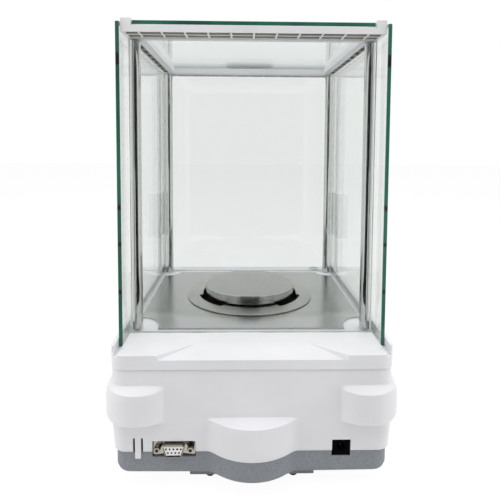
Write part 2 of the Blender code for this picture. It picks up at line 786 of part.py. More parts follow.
def rear_openings(name):
    """The two openings in the rear wall, for the serial port and the power socket."""
    front = BODY_REAR - HOUSING_WALL - TRAY_INSET - TRAY_WALL
    rear = BODY_REAR + CUT_OVERRUN
    port = ((PORT_X - PORT_OPENING_HALF_WIDTH, front, PORT_Z - PORT_OPENING_HALF_HEIGHT),
            (PORT_X + PORT_OPENING_HALF_WIDTH, rear, PORT_Z + PORT_OPENING_HALF_HEIGHT))
    width = POWER_HALF_WIDTH + GAP
    height = POWER_HALF_HEIGHT + GAP
    power = ((POWER_X - width, front, PORT_Z - height), (POWER_X + width, rear, PORT_Z + height))
    return blocks(name, [port, power])


def make_upper_housing():
    """The white moulded shell with its waved rear."""
    low = HOUSING_BOTTOM
    corner_low = low + CORNER_SWELL_LOW
    corner_high = low + CORNER_SWELL_HIGH
    centre_top = low + CENTRE_SWELL_TOP
    foot, low_side, full, high_side, ledge, above, fade = SIDE_SWELL_SHARES
    shoulder = CORNER_SWELL_SHOULDER
    outer = [
        (HOUSING_FOOT_INSET, 0.0, 0.0, 1.0, low),
        (0.0, 0.0, foot, 1.0, corner_low - CORNER_SWELL_EDGE),
        (0.0, 1.0, low_side, 1.0, corner_low),
        (0.0, 1.0, full, 1.0, centre_top),
        (0.0, 1.0, full, 0.0, centre_top + CENTRE_SWELL_EDGE),
        (0.0, 1.0, full, 0.0, corner_high - 2 * shoulder),
        (0.0, 1.0, high_side, 0.0, corner_high - shoulder),
        (0.0, 1.0, ledge, 0.0, corner_high),
        (0.0, 0.0, above, 0.0, corner_high + CORNER_SWELL_EDGE),
        (0.0, 0.0, fade, 0.0, corner_high + CORNER_SWELL_EDGE + shoulder),
        (0.0, 0.0, 0.0, 0.0, corner_high + CORNER_SWELL_EDGE + 2 * shoulder),
        (0.0, 0.0, 0.0, 0.0, HOUSING_TOP),
    ]
    wall = HOUSING_WALL
    inner = [
        (wall, 0.0, 0.0, 0.0, HOUSING_TOP),
        (wall, 0.0, fade, 0.0, corner_high + shoulder),
        (wall, 0.0, above, 0.0, corner_high - CORNER_SWELL_EDGE / 2),
        (wall, 1.0, ledge, 0.0, corner_high - wall),
        (wall, 1.0, full, 0.0, corner_high - 2 * shoulder),
        (wall, 1.0, full, 0.0, centre_top - CENTRE_SWELL_EDGE),
        (wall, 0.0, foot, 1.0, centre_top - wall),
        (wall + HOUSING_FOOT_INSET, 0.0, 0.0, 1.0, low),
    ]
    rings = [housing_ring(*step) for step in outer + inner]
    rings.append(rings[0])
    bm = bmesh.new()
    loops = [[bm.verts.new(point) for point in ring] for ring in rings[:-1]]
    loops.append(loops[0])
    for first, second in zip(loops, loops[1:]):
        for i in range(len(first)):
            j = (i + 1) % len(first)
            bm.faces.new((first[i], first[j], second[j], second[i]))
    housing = add_object("upper_housing", bm, white_plastic())
    rear = BODY_REAR + CUT_OVERRUN
    front = BODY_REAR - HOUSING_WALL - CUT_OVERRUN
    tongue = TONGUE_WIDTH / 2
    root = block("tongue", (TONGUE_X - tongue, BODY_REAR - HOUSING_WALL, low - TONGUE_LOW),
                 (TONGUE_X + tongue, BODY_REAR - HOUSING_FOOT_INSET, low + TONGUE_HIGH), white_plastic())
    slits = [((TONGUE_X + side * (tongue + TONGUE_SLIT / 2) - TONGUE_SLIT / 2, front, low - CUT_OVERRUN),
              (TONGUE_X + side * (tongue + TONGUE_SLIT / 2) + TONGUE_SLIT / 2, rear, low + TONGUE_HIGH))
             for side in (-1, 1)]
    boolean(housing, blocks("tongue_slits", slits), "DIFFERENCE")
    boolean(housing, as_cutter(root), "UNION")
    boolean(housing, rear_openings("housing_openings"), "DIFFERENCE")
    return housing


def deck_outline():
    """The deck seen from above, with round rear corners."""
    half = DECK_HALF_WIDTH
    radius = DECK_CORNER
    turn = [math.pi / 2 * i / OUTLINE_CORNER_STEPS for i in range(OUTLINE_CORNER_STEPS + 1)]
    points = [(-half, DECK_FRONT), (half, DECK_FRONT)]
    points += [(half - radius + radius * math.cos(a), DECK_REAR - radius + radius * math.sin(a)) for a in turn]
    points += [(-half + radius - radius * math.sin(a), DECK_REAR - radius + radius * math.cos(a)) for a in turn]
    return points


def make_deck_cover():
    """The white cover that carries the chamber."""
    lip_top = DECK_TOP + LIP_HEIGHT
    over = lip_top + CUT_OVERRUN
    ahead = DECK_FRONT - CUT_OVERRUN
    behind = DECK_REAR + CUT_OVERRUN
    deck = prism("deck_cover", deck_outline(), DECK_BOTTOM, lip_top, white_plastic())
    lip_end = DECK_REAR - LIP_REAR_SETBACK
    centre = blocks("between_lips", [((-GROOVE_OUTER, ahead, DECK_TOP), (GROOVE_OUTER, behind, over))])
    boolean(deck, centre, "DIFFERENCE")
    ends = blocks("lip_ends", [((-DECK_HALF_WIDTH - CUT_OVERRUN, lip_end, DECK_TOP),
                                (DECK_HALF_WIDTH + CUT_OVERRUN, behind, over))])
    boolean(deck, ends, "DIFFERENCE")
    groove_low = DECK_TOP - GROOVE_DEPTH
    grooves = [((min(side * RAIL_OUTER, side * GROOVE_OUTER), ahead, groove_low),
                (max(side * RAIL_OUTER, side * GROOVE_OUTER), behind, over)) for side in (-1, 1)]
    boolean(deck, blocks("door_grooves", grooves), "DIFFERENCE")
    inner = DECK_HALF_WIDTH - DECK_SIDE_WALL
    cavity = blocks("deck_cavity", [((-inner, DECK_FRONT + DECK_SIDE_WALL, DECK_BOTTOM - CUT_OVERRUN),
                                     (inner, DECK_REAR - DECK_SIDE_WALL, DECK_TOP - DECK_TOP_WALL))])
    boolean(deck, cavity, "DIFFERENCE")
    boolean(deck, rear_dip(behind, over), "DIFFERENCE")
    seat_low = DECK_TOP - SEAT_DEPTH
    seat_half = RAIL_OUTER - RAIL_COVER
    seats = [((-seat_half, REAR_GLASS_FRONT - GAP, seat_low),
              (seat_half, REAR_GLASS_FRONT + GLASS + GAP, over)),
             ((-seat_half, FRONT_GLASS_REAR - GLASS - GAP, seat_low),
              (seat_half, FRONT_GLASS_REAR + GAP, over))]
    boolean(deck, blocks("pane_seats", seats), "DIFFERENCE")
    flange = WELL_RADIUS + WELL_FLANGE + GAP
    step = DECK_TOP - WELL_FLANGE_THICKNESS - GAP
    profile = [(0, DECK_BOTTOM - CUT_OVERRUN), (WELL_RADIUS + GAP, DECK_BOTTOM - CUT_OVERRUN),
               (WELL_RADIUS + GAP, step), (flange, step), (flange, over), (0, over)]
    hole = turned("well_hole", profile, (0.0, PAN_Y), white_plastic(), PAN_STEPS)
    boolean(deck, as_cutter(hole), "DIFFERENCE")
    vial = cylinder("vial_hole", (VIAL_X, vial_y()), VIAL_RADIUS + GAP,
                    DECK_TOP - VIAL_DEPTH - GAP, over, white_plastic())
    boolean(deck, as_cutter(vial), "DIFFERENCE")
    return deck


def rear_dip(behind, over):
    """The shallow slope in the rear of the deck, wider toward the rear."""
    start = DECK_REAR - REAR_DIP_LENGTH
    rate = (behind - start) / REAR_DIP_LENGTH
    spread = REAR_DIP_FRONT_HALF + (REAR_DIP_HALF - REAR_DIP_FRONT_HALF) * rate
    low = DECK_TOP - REAR_DIP_DEPTH * rate
    bm = bmesh.new()
    rings = []
    for y, half, floor in ((start, REAR_DIP_FRONT_HALF, DECK_TOP), (behind, spread, low)):
        top = half + REAR_DIP_SLANT
        rings.append([(-half, y, floor), (half, y, floor), (top, y, over), (-top, y, over)])
    closed_rings(bm, rings)
    return as_cutter(add_object("rear_dip", bm, white_plastic()))


def vial_y():
    """The level vial is midway on the strip ahead of the front pane."""
    return (DECK_FRONT + FRONT_GLASS_REAR - GLASS) / 2


# Chamber pieces

def make_posts():
    """Four round posts."""
    names = {(-1, 1): "post_rear_right", (1, 1): "post_rear_left",
             (-1, -1): "post_front_right", (1, -1): "post_front_left"}
    for (side, end), name in names.items():
        y = REAR_POST_Y if end > 0 else FRONT_POST_Y
        cylinder(name, (side * POST_X, y), POST_RADIUS, POST_BOTTOM, POST_TOP, polished_steel(), POST_STEPS)


def slot_outline(side, clearance):
    """The T of the shoe slot in X and Z, or of a shoe when clearance is drawn off it."""
    middle = FRAME_BOTTOM + SLOT_LIFT
    neck = SLOT_NECK_HEIGHT / 2 - clearance
    head = SLOT_HEAD_HEIGHT / 2 - clearance
    mouth = RAIL_OUTER + (0.0 if clearance else CUT_OVERRUN)
    shoulder = RAIL_OUTER - SLOT_NECK_DEPTH - clearance
    back = RAIL_OUTER - SLOT_NECK_DEPTH - SLOT_HEAD_DEPTH + clearance
    points = [(mouth, middle - neck), (mouth, middle + neck), (shoulder, middle + neck),
              (shoulder, middle + head), (back, middle + head), (back, middle - head),
              (shoulder, middle - head), (shoulder, middle - neck)]
    return [(side * x, z) for x, z in points]


def cut_shoe_slots(item, front, rear):
    """Cut the shoe slot into each side of a piece of the frame."""
    for side in (-1, 1):
        name = "%s_slot_%s" % (item.name, "right" if side < 0 else "left")
        slot = long_prism(name, slot_outline(side, 0.0), front, rear, white_plastic())
        boolean(item, as_cutter(slot), "DIFFERENCE")


def crossbar_cells(front, rear):
    """Pockets in the underside of a crossbar: two rows of cells between ribs."""
    pitch = 2 * RAIL_INNER / RIB_CELLS
    edges = [-RAIL_INNER + pitch * i for i in range(RIB_CELLS + 1)]
    end = RAIL_OUTER - SLOT_NECK_DEPTH - RIB
    edges = [-end - RIB / 2] + edges + [end + RIB / 2]
    middle = (front + rear) / 2
    rows = [(front, middle - RIB / 2), (middle + RIB / 2, rear)]
    cells = []
    for left, right in zip(edges, edges[1:]):
        for low, high in rows:
            cells.append(((left + RIB / 2, low, FRAME_BOTTOM - CUT_OVERRUN),
                          (right - RIB / 2, high, FRAME_BOTTOM + RIB_DEPTH)))
    return cells


def make_crossbar(name, front, rear, cells, pane_front, slot_front, slot_rear):
    """A crossbar with raised blocks at both ends, ribbed underneath."""
    bar = block(name, (-RAIL_OUTER, front, FRAME_BOTTOM), (RAIL_OUTER, rear, FRAME_TOP), white_plastic())
    boolean(bar, blocks(name + "_cells", cells), "DIFFERENCE")
    seat_half = RAIL_OUTER - RAIL_COVER
    groove = [((-seat_half, pane_front - GAP, FRAME_BOTTOM - CUT_OVERRUN),
               (seat_half, pane_front + GLASS + GAP, FRAME_BOTTOM + SEAT_DEPTH))]
    boolean(bar, blocks(name + "_groove", groove), "DIFFERENCE")
    cut_shoe_slots(bar, slot_front, slot_rear)
    return bar


def make_rear_top_rail():
    """The rear crossbar of the frame."""
    cells = crossbar_cells(REAR_GLASS_FRONT + GLASS + RIB, REAR_BAR_REAR - RIB)
    bar = make_crossbar("rear_top_rail", REAR_BAR_FRONT, REAR_BAR_REAR, cells, REAR_GLASS_FRONT,
                        REAR_BAR_FRONT - CUT_OVERRUN, REAR_BAR_REAR - SLOT_END_WALL)
    gap = [((-UPSTAND_INNER, REAR_BAR_FRONT - CUT_OVERRUN, FRAME_SHELF),
            (UPSTAND_INNER, REAR_BAR_REAR + CUT_OVERRUN, FRAME_TOP + CUT_OVERRUN))]
    boolean(bar, blocks("rear_bar_top", gap), "DIFFERENCE")
    return bar


def make_front_top_rail():
    """The front crossbar, with the stop for the top pane."""
    pane_front = FRONT_GLASS_REAR - GLASS
    cells = crossbar_cells(FRONT_BAR_FRONT + RIB, pane_front - RIB)
    bar = make_crossbar("front_top_rail", FRONT_BAR_FRONT, FRONT_BAR_REAR, cells, pane_front,
                        FRONT_BAR_FRONT + SLOT_END_WALL, FRONT_BAR_REAR + CUT_OVERRUN)
    gap = [((-UPSTAND_INNER, FRONT_BAR_FRONT + FRONT_STOP_WIDTH, FRAME_SHELF),
            (UPSTAND_INNER, FRONT_BAR_REAR + CUT_OVERRUN, FRAME_TOP + CUT_OVERRUN))]
    boolean(bar, blocks("front_bar_top", gap), "DIFFERENCE")
    return bar


def make_side_top_rails():
    """The side rails: a ledge under the top pane and an upstand beside it."""
    front = FRONT_BAR_REAR + GAP
    rear = REAR_BAR_FRONT - GAP
    section = [(RAIL_INNER, FRAME_BOTTOM), (RAIL_OUTER, FRAME_BOTTOM), (RAIL_OUTER, FRAME_TOP),
               (UPSTAND_INNER, FRAME_TOP), (UPSTAND_INNER, FRAME_SHELF), (RAIL_INNER, FRAME_SHELF)]
    strip_outer = RAIL_OUTER - RAIL_SKIN
    strip_inner = strip_outer - RIB_STRIP
    pitch = (rear - front) / RIB_SIDE_CELLS
    for side, name in ((-1, "right_top_rail"), (1, "left_top_rail")):
        rail = long_prism(name, [(side * x, z) for x, z in section], front, rear, white_plastic())
        cells = [((min(side * strip_inner, side * strip_outer), front + pitch * i + RIB / 2,
                   FRAME_BOTTOM - CUT_OVERRUN),
                  (max(side * strip_inner, side * strip_outer), front + pitch * (i + 1) - RIB / 2,
                   FRAME_BOTTOM + RIB_DEPTH)) for i in range(RIB_SIDE_CELLS)]
        boolean(rail, blocks(name + "_cells", cells), "DIFFERENCE")
        slot = long_prism(name + "_slot", slot_outline(side, 0.0), front - CUT_OVERRUN,
                          rear + CUT_OVERRUN, white_plastic())
        boolean(rail, as_cutter(slot), "DIFFERENCE")


def make_fixed_panes():
    """The rear and front panes, seated in the deck and the crossbars."""
    low = DECK_TOP - SEAT_DEPTH + GAP
    high = FRAME_BOTTOM + SEAT_DEPTH - GAP
    half = RAIL_OUTER - RAIL_COVER - GAP
    for name, front in (("rear_glass", REAR_GLASS_FRONT), ("front_glass", FRONT_GLASS_REAR - GLASS)):
        block(name, (-half, front, low), (half, front + GLASS, high), clear_glass())


def make_side_door(side, word):
    """A side pane with its grip and the two shoes that run in the rail."""
    inner = side * DOOR_INNER
    outer = side * DOOR_OUTER
    origin = (side * (DOOR_INNER + DOOR_OUTER) / 2, DOOR_FRONT, DOOR_BOTTOM)
    block(word + "_door_glass", (min(inner, outer), DOOR_FRONT, DOOR_BOTTOM),
          (max(inner, outer), DOOR_REAR, DOOR_TOP), clear_glass(), origin)
    base = DOOR_OUTER + GAP
    front = DOOR_FRONT + HANDLE_FRONT_SETBACK
    rear = front + HANDLE_LENGTH
    tip = base + HANDLE_FIN_REACH
    low = PLATE_TOP + HANDLE_LIFT
    section = [(base, front), (base + HANDLE_BASE, front),
               (base + HANDLE_BASE, rear - HANDLE_FIN_WALL - HANDLE_BASE),
               (tip, rear - HANDLE_FIN_WALL / 2), (tip, rear), (base, rear)]
    outline = [(side * x, y) for x, y in section]
    handle = prism(word + "_door_handle", outline, low, low + HANDLE_HEIGHT, clear_plastic(),
                   (side * base, front, low))
    bevel(handle, HANDLE_BEVEL)
    for place, start in (("front", DOOR_FRONT + SHOE_FRONT_OFFSET),
                         ("rear", DOOR_FRONT + SHOE_FRONT_OFFSET + SHOE_SPACING)):
        long_prism("%s_door_shoe_%s" % (word, place), slot_outline(side, GAP),
                   start, start + SHOE_LENGTH, black_plastic(), (side * RAIL_OUTER, start, FRAME_SHELF))


def make_top_door():
    """The top pane with its grip."""
    half = UPSTAND_INNER - GAP
    front = FRONT_BAR_FRONT + FRONT_STOP_WIDTH + GAP
    low = FRAME_SHELF + GAP
    block("top_door_glass", (-half, front, low), (half, REAR_BAR_REAR, low + GLASS), clear_glass(),
          (0.0, front, low))
    grip_front = front + TOP_HANDLE_FRONT_SETBACK
    grip_low = low + GLASS + GAP
    grip_high = grip_low + TOP_HANDLE_HEIGHT
    outline = rounded_rectangle(TOP_HANDLE_WIDTH / 2, TOP_HANDLE_DEPTH / 2, TOP_HANDLE_DEPTH / 3,
                                KEY_CORNER_STEPS, (0.0, grip_front + TOP_HANDLE_DEPTH / 2))
    grip = prism("top_door_handle", outline, grip_low, grip_high, white_plastic(), (0.0, grip_front, grip_low))
    scoop_outline = rounded_rectangle(TOP_HANDLE_WIDTH / 2 - TOP_HANDLE_RIM,
                                      TOP_HANDLE_DEPTH / 2 - TOP_HANDLE_RIM,
                                      TOP_HANDLE_DEPTH / 3 - TOP_HANDLE_RIM / 2, KEY_CORNER_STEPS,
                                      (0.0, grip_front + TOP_HANDLE_DEPTH / 2))
    scoop = prism("grip_scoop", scoop_outline, grip_high - TOP_HANDLE_SCOOP, grip_high + CUT_OVERRUN,
                  white_plastic())
    boolean(grip, as_cutter(scoop), "DIFFERENCE")


# Floor plate, ring and pan

def make_floor_plate():
    """The steel floor with its cut-away corners and the hole under the ring."""
    front = FRONT_POST_Y + PLATE_FRONT_REACH
    rear = REAR_POST_Y + PLATE_REAR_REACH
    plate = block("floor_plate", (-PLATE_HALF_WIDTH, front, PLATE_BOTTOM),
                  (PLATE_HALF_WIDTH, rear, PLATE_TOP), satin_steel())
    corners = ((REAR_POST_Y, PLATE_NOTCH_REAR_X, PLATE_NOTCH_REAR_Y),
               (FRONT_POST_Y, PLATE_NOTCH_FRONT_X, PLATE_NOTCH_FRONT_Y))
    for side in (-1, 1):
        for y, half_x, half_y in corners:
            outline = [(side * POST_X + x * half_x, y + z * half_y) for x, z in circle(1.0, NOTCH_STEPS)]
            notch = prism("notch", outline, PLATE_BOTTOM - CUT_OVERRUN, PLATE_TOP + CUT_OVERRUN, satin_steel())
            boolean(plate, as_cutter(notch), "DIFFERENCE")
    hole = cylinder("plate_hole", (0.0, PAN_Y), PLATE_HOLE, PLATE_BOTTOM - CUT_OVERRUN,
                    PLATE_TOP + CUT_OVERRUN, satin_steel(), PAN_STEPS)
    boolean(plate, as_cutter(hole), "DIFFERENCE")
    return plate


def make_pan_well():
    """The black dish in the deck below the draft ring."""
    top = DECK_TOP - GAP
    under = top - WELL_FLANGE_THICKNESS
    low = top - WELL_DEPTH
    outer = WELL_RADIUS
    profile = [(WELL_HOLE, low), (outer, low), (outer, under), (outer + WELL_FLANGE, under),
               (outer + WELL_FLANGE, top), (outer - WELL_SHEET, top),
               (outer - WELL_SHEET, low + WELL_SHEET), (WELL_HOLE, low + WELL_SHEET)]
    return turned("pan_well", profile, (0.0, PAN_Y), black_steel(), PAN_STEPS)


def sector(inner, outer, start_share, end_share, steps):
    """An outline between two radii and two shares of half a turn, round the pan's centre."""
    turns = [math.pi * (start_share + (end_share - start_share) * i / steps) for i in range(steps + 1)]
    points = [(outer * math.cos(a), PAN_Y + outer * math.sin(a)) for a in turns]
    points += [(inner * math.cos(a), PAN_Y + inner * math.sin(a)) for a in reversed(turns)]
    return points


def make_draft_ring():
    """The dished ring: a lip round the pan, and a tongue under the pan between two notches."""
    foot = PLATE_TOP + GAP
    low = foot + RING_RISE
    high = low + RING_SHEET
    lip = foot + RING_LIP_HEIGHT
    step = RING_LIP_RADIUS + RING_SHEET
    profile = [(RING_RADIUS, foot), (RING_RADIUS, foot + RING_SHEET), (RING_SLOPE_END, high), (step, high),
               (step, lip), (RING_LIP_RADIUS, lip), (RING_LIP_RADIUS, low), (RING_SLOPE_END, low)]
    ring = turned("draft_ring", profile, (0.0, PAN_Y), satin_steel(), RING_STEPS, (0.0, PAN_Y, foot))
    start = (1.0 - TONGUE_SHARE * 2) / 2
    end = 1.0 - start
    overlap = (RING_SLOPE_END - step) / 2
    away = prism("lip_gap", sector(NOTCH_INNER_RADIUS, step + overlap, NOTCH_START_SHARE,
                                   1.0 - NOTCH_START_SHARE, SECTOR_STEPS * 2),
                 high, lip + CUT_OVERRUN, satin_steel())
    boolean(ring, as_cutter(away), "DIFFERENCE")
    tongue = prism("ring_tongue", sector(RING_HOLE, step + overlap, start, end, SECTOR_STEPS),
                   low, high, satin_steel())
    boolean(ring, as_cutter(tongue), "UNION")
    for index, (first, last) in enumerate(((NOTCH_START_SHARE, start), (end, 1.0 - NOTCH_START_SHARE))):
        notch = prism("ring_notch_%d" % index, sector(NOTCH_INNER_RADIUS, NOTCH_OUTER_RADIUS, first, last,
                                                      SECTOR_STEPS),
                      foot - CUT_OVERRUN, lip + CUT_OVERRUN, satin_steel())
        boolean(ring, as_cutter(notch), "DIFFERENCE")
    return ring


def make_weighing_pan():
    """The pan, a thin disc with a deep rolled rim, and the cone under it."""
    top = PAN_TOP
    low = top - PAN_RIM_DEPTH
    radius = PAN_RADIUS
    profile = [(0, top - PAN_SHEET), (radius - PAN_SHEET, top - PAN_SHEET), (radius - PAN_SHEET, low),
               (radius, low), (radius, top - PAN_EDGE), (radius - PAN_EDGE / 3, top - PAN_EDGE / 3),
               (radius - PAN_EDGE, top), (PAN_MARK_RADIUS, top), (PAN_MARK_RADIUS, top - PAN_MARK_DEPTH),
               (0, top - PAN_MARK_DEPTH)]
    turned("weighing_pan", profile, (0.0, PAN_Y), satin_steel(), PAN_STEPS, (0.0, PAN_Y, top))
    cone_top = top - PAN_SHEET - GAP
    cone_low = cone_top - PAN_CONE_HEIGHT
    tip = cone_low + PAN_CONE_BORE_DEPTH
    profile = [(0, tip), (PAN_CONE_BORE_TIP, tip), (PAN_CONE_BORE, cone_low),
               (PAN_CONE_RADIUS * PAN_CONE_FOOT_SHARE, cone_low), (PAN_CONE_RADIUS, cone_top), (0, cone_top)]
    turned("pan_cone", profile, (0.0, PAN_Y), cast_aluminium(), ROUND_STEPS, (0.0, PAN_Y, cone_top))


def make_pan_spindle():
    """The spindle that carries the pan, on the load column of the cell."""
    cone_low = PAN_TOP - PAN_SHEET - GAP - PAN_CONE_HEIGHT
    tip = cone_low + PAN_CONE_BORE_DEPTH - GAP
    low = CELL_TOP + GAP
    profile = [(0, low), (SPINDLE_FLANGE_RADIUS, low), (SPINDLE_FLANGE_RADIUS, low + SPINDLE_FLANGE),
               (SPINDLE_RADIUS, low + SPINDLE_FLANGE), (SPINDLE_RADIUS, cone_low), (SPINDLE_TIP, tip), (0, tip)]
    turned("pan_spindle", profile, (0.0, PAN_Y), bright_nickel(), ROUND_STEPS)


# Feet

def make_rear_feet():
    """Two small rubber feet, each plugged into the sole."""
    for side, word in ((-1, "right"), (1, "left")):
        top = SOLE_BOTTOM - GAP
        profile = [(0, 0.0), (FOOT_RADIUS - FOOT_ROUND, 0.0), (FOOT_RADIUS, FOOT_ROUND), (FOOT_RADIUS, top),
                   (FOOT_PIN_RADIUS, top), (FOOT_PIN_RADIUS, top + FOOT_PIN_LENGTH), (0, top + FOOT_PIN_LENGTH)]
        turned("rear_foot_" + word, profile, (side * FOOT_X, FOOT_Y), black_rubber(), ROUND_STEPS)


def make_levelling_feet():
    """Two front feet: a rubber pad, and a knurled wheel on a stud."""
    for side, word in ((-1, "right"), (1, "left")):
        centre = (side * LEVELLING_X, LEVELLING_Y)
        floor = PAD_HEIGHT - PAD_SOCKET_DEPTH
        profile = [(0, 0.0), (PAD_RADIUS - PAD_ROUND, 0.0), (PAD_RADIUS, PAD_ROUND),
                   (PAD_RADIUS, PAD_HEIGHT), (STUD_RADIUS + GAP, PAD_HEIGHT), (STUD_RADIUS + GAP, floor), (0, floor)]
        turned("levelling_pad_" + word, profile, centre, black_rubber(), ROUND_STEPS)
        low = floor + GAP
        stud = cylinder("levelling_knob_" + word, centre, STUD_RADIUS, low, STUD_TOP, black_plastic())
        wheel_low = PAD_HEIGHT + GAP
        steps = KNOB_LOBES * 2
        outline = []
        for i, (x, y) in enumerate(circle(1.0, steps)):
            radius = KNOB_RADIUS - (i % 2) * KNOB_LOBE_DEPTH
            outline.append((centre[0] + radius * x, centre[1] + radius * y))
        wheel = prism("wheel_" + word, outline, wheel_low, wheel_low + KNOB_HEIGHT, black_plastic())
        boolean(stud, as_cutter(wheel), "UNION")


# Control panel

def panel_frame():
    """The sloped frame of the key panel: X across, Y up the slope, Z out of the face."""
    middle_y = (DECK_FRONT - GAP + PANEL_FRONT) / 2
    middle_z = panel_face(middle_y)
    return Matrix.Translation((0.0, middle_y, middle_z)) @ Matrix.Rotation(SLOPE, 4, "X")


def panel_face(y):
    """Height of the panel's face at a depth."""
    return PANEL_TOP - (DECK_FRONT - y) * SLOPE_RATE


def place_on_panel(item, u=0.0, v=0.0):
    """Lay a piece drawn flat at the origin onto the sloped face."""
    item.matrix_world = panel_frame() @ Matrix.Translation((u, v, 0.0))
    return item


def make_control_panel():
    """The sloped front cover with its window and key openings."""
    half = DECK_HALF_WIDTH
    rear = DECK_FRONT - GAP
    radius = PANEL_FRONT_CORNER
    turn = [math.pi / 2 * i / OUTLINE_CORNER_STEPS for i in range(OUTLINE_CORNER_STEPS + 1)]
    points = [(half, rear), (-half, rear)]
    points += [(-half + radius - radius * math.cos(a), PANEL_FRONT + radius - radius * math.sin(a)) for a in turn]
    points += [(half - radius + radius * math.sin(a), PANEL_FRONT + radius - radius * math.cos(a)) for a in turn]
    bm = bmesh.new()
    bottom = [(x, y, panel_face(y) - PANEL_THICKNESS) for x, y in points]
    top = [(x, y, panel_face(y)) for x, y in points]
    closed_rings(bm, [bottom, top])
    panel = add_object("control_panel", bm, white_plastic())
    depth = PANEL_THICKNESS * math.cos(SLOPE)
    cavity = block("panel_cavity", (-PANEL_CAVITY_HALF, PANEL_CAVITY_LOW, -depth - CUT_OVERRUN),
                   (PANEL_CAVITY_HALF, PANEL_CAVITY_HIGH, -PANEL_FACE), white_plastic())
    boolean(panel, as_cutter(place_on_panel(cavity)), "DIFFERENCE")
    half_w = WINDOW_WIDTH / 2 + GAP
    half_h = WINDOW_HEIGHT / 2 + GAP
    window = block("window_opening", (-half_w, WINDOW_V - half_h, -WINDOW_THICKNESS - GAP),
                   (half_w, WINDOW_V + half_h, CUT_OVERRUN), white_plastic())
    boolean(panel, as_cutter(place_on_panel(window)), "DIFFERENCE")
    sight_w = WINDOW_WIDTH / 2 - WINDOW_REBATE
    sight_h = WINDOW_HEIGHT / 2 - WINDOW_REBATE
    sight = block("window_sight", (-sight_w, WINDOW_V - sight_h, -PANEL_FACE - CUT_OVERRUN),
                  (sight_w, WINDOW_V + sight_h, CUT_OVERRUN), white_plastic())
    boolean(panel, as_cutter(place_on_panel(sight)), "DIFFERENCE")
    for name, u in key_places():
        outline = rounded_rectangle(KEY_WIDTH / 2 + GAP, KEY_DEPTH / 2 + GAP, KEY_CORNER + GAP, KEY_CORNER_STEPS)
        opening = prism(name + "_opening", outline, -PANEL_FACE - CUT_OVERRUN, CUT_OVERRUN, white_plastic())
        boolean(panel, as_cutter(place_on_panel(opening, u, KEY_V)), "DIFFERENCE")
    return panel


def key_places():
    """Name and place across the panel of each key."""
    start = -KEY_PITCH * (len(KEY_NAMES) - 1) / 2
    return [(name, start + KEY_PITCH * i) for i, name in enumerate(KEY_NAMES)]


def make_keys():
    """Six bare key caps, each with a flange under the face and a stem above the board."""
    flange_top = -PANEL_FACE - GAP
    flange_low = flange_top - KEY_FLANGE
    stem_low = board_face() + KEY_TRAVEL + GAP
    for name, u in key_places():
        cap = prism(name, rounded_rectangle(KEY_WIDTH / 2, KEY_DEPTH / 2, KEY_CORNER, KEY_CORNER_STEPS),
                    flange_low, KEY_PROUD, key_grey())
        flange = prism(name + "_flange",
                       rounded_rectangle(KEY_WIDTH / 2 + KEY_FLANGE, KEY_DEPTH / 2 + KEY_FLANGE,
                                         KEY_CORNER, KEY_CORNER_STEPS),
                       flange_low, flange_top, key_grey())
        stem = cylinder(name + "_stem", (0.0, 0.0), KEY_STEM_RADIUS, stem_low, flange_low + KEY_FLANGE / 2,
                        key_grey(), POST_STEPS, (0.0, 0.0, 0.0))
        boolean(place_on_panel(cap, u, KEY_V), as_cutter(place_on_panel(flange, u, KEY_V)), "UNION")
        boolean(cap, as_cutter(place_on_panel(stem, u, KEY_V)), "UNION")


def board_face():
    """Height of the key board's upper face in the panel's frame."""
    return -PANEL_FACE - GAP - MODULE_THICKNESS - GAP


def make_display():
    """Window, display module and key board behind the panel."""
    half_w = WINDOW_WIDTH / 2
    half_h = WINDOW_HEIGHT / 2
    lens = block("display_window", (-half_w, WINDOW_V - half_h, -WINDOW_THICKNESS),
                 (half_w, WINDOW_V + half_h, 0.0), dark_lens())
    place_on_panel(lens)
    high = -PANEL_FACE - GAP
    module = block("display_module", (-half_w - MODULE_MARGIN, WINDOW_V - half_h - MODULE_MARGIN,
                                      high - MODULE_THICKNESS),
                   (half_w + MODULE_MARGIN, WINDOW_V + half_h + MODULE_MARGIN, high), display_grey())
    place_on_panel(module)
    top = board_face()
    board = block("key_board", (-PANEL_CAVITY_HALF + GAP, PANEL_CAVITY_LOW + GAP, top - BOARD_THICKNESS),
                  (PANEL_CAVITY_HALF - GAP, PANEL_CAVITY_HIGH - GAP, top), board_green())
    place_on_panel(board)


def make_level_vial():
    """The bubble level and its bezel, on the strip ahead of the front pane."""
    centre = (VIAL_X, vial_y())
    low = DECK_TOP - VIAL_DEPTH
    radius = VIAL_RADIUS
    profile = [(0, low), (radius, low), (radius, DECK_TOP), (radius / 2, DECK_TOP + VIAL_DOME), (0, DECK_TOP + VIAL_DOME)]
    turned("level_vial", profile, centre, vial_liquid(), ROUND_STEPS)
    foot = DECK_TOP + GAP
    head = foot + VIAL_RING_PROUD
    inner = radius + GAP
    outer = inner + VIAL_RING_WIDTH
    turned("level_ring", [(inner, foot), (outer, foot), (outer, head), (inner, head)],
           centre, white_plastic(), ROUND_STEPS)


# Sockets

def shell_outline(inset):
    """The D of the serial shell in X and Z, wider at the top."""
    half = SHELL_WIDTH / 2 - inset
    low_half = half - SHELL_WIDTH * SHELL_SLANT_SHARE
    high = SHELL_HEIGHT / 2 - inset
    return [(PORT_X - low_half, PORT_Z - high), (PORT_X + low_half, PORT_Z - high),
            (PORT_X + half, PORT_Z + high), (PORT_X - half, PORT_Z + high)]


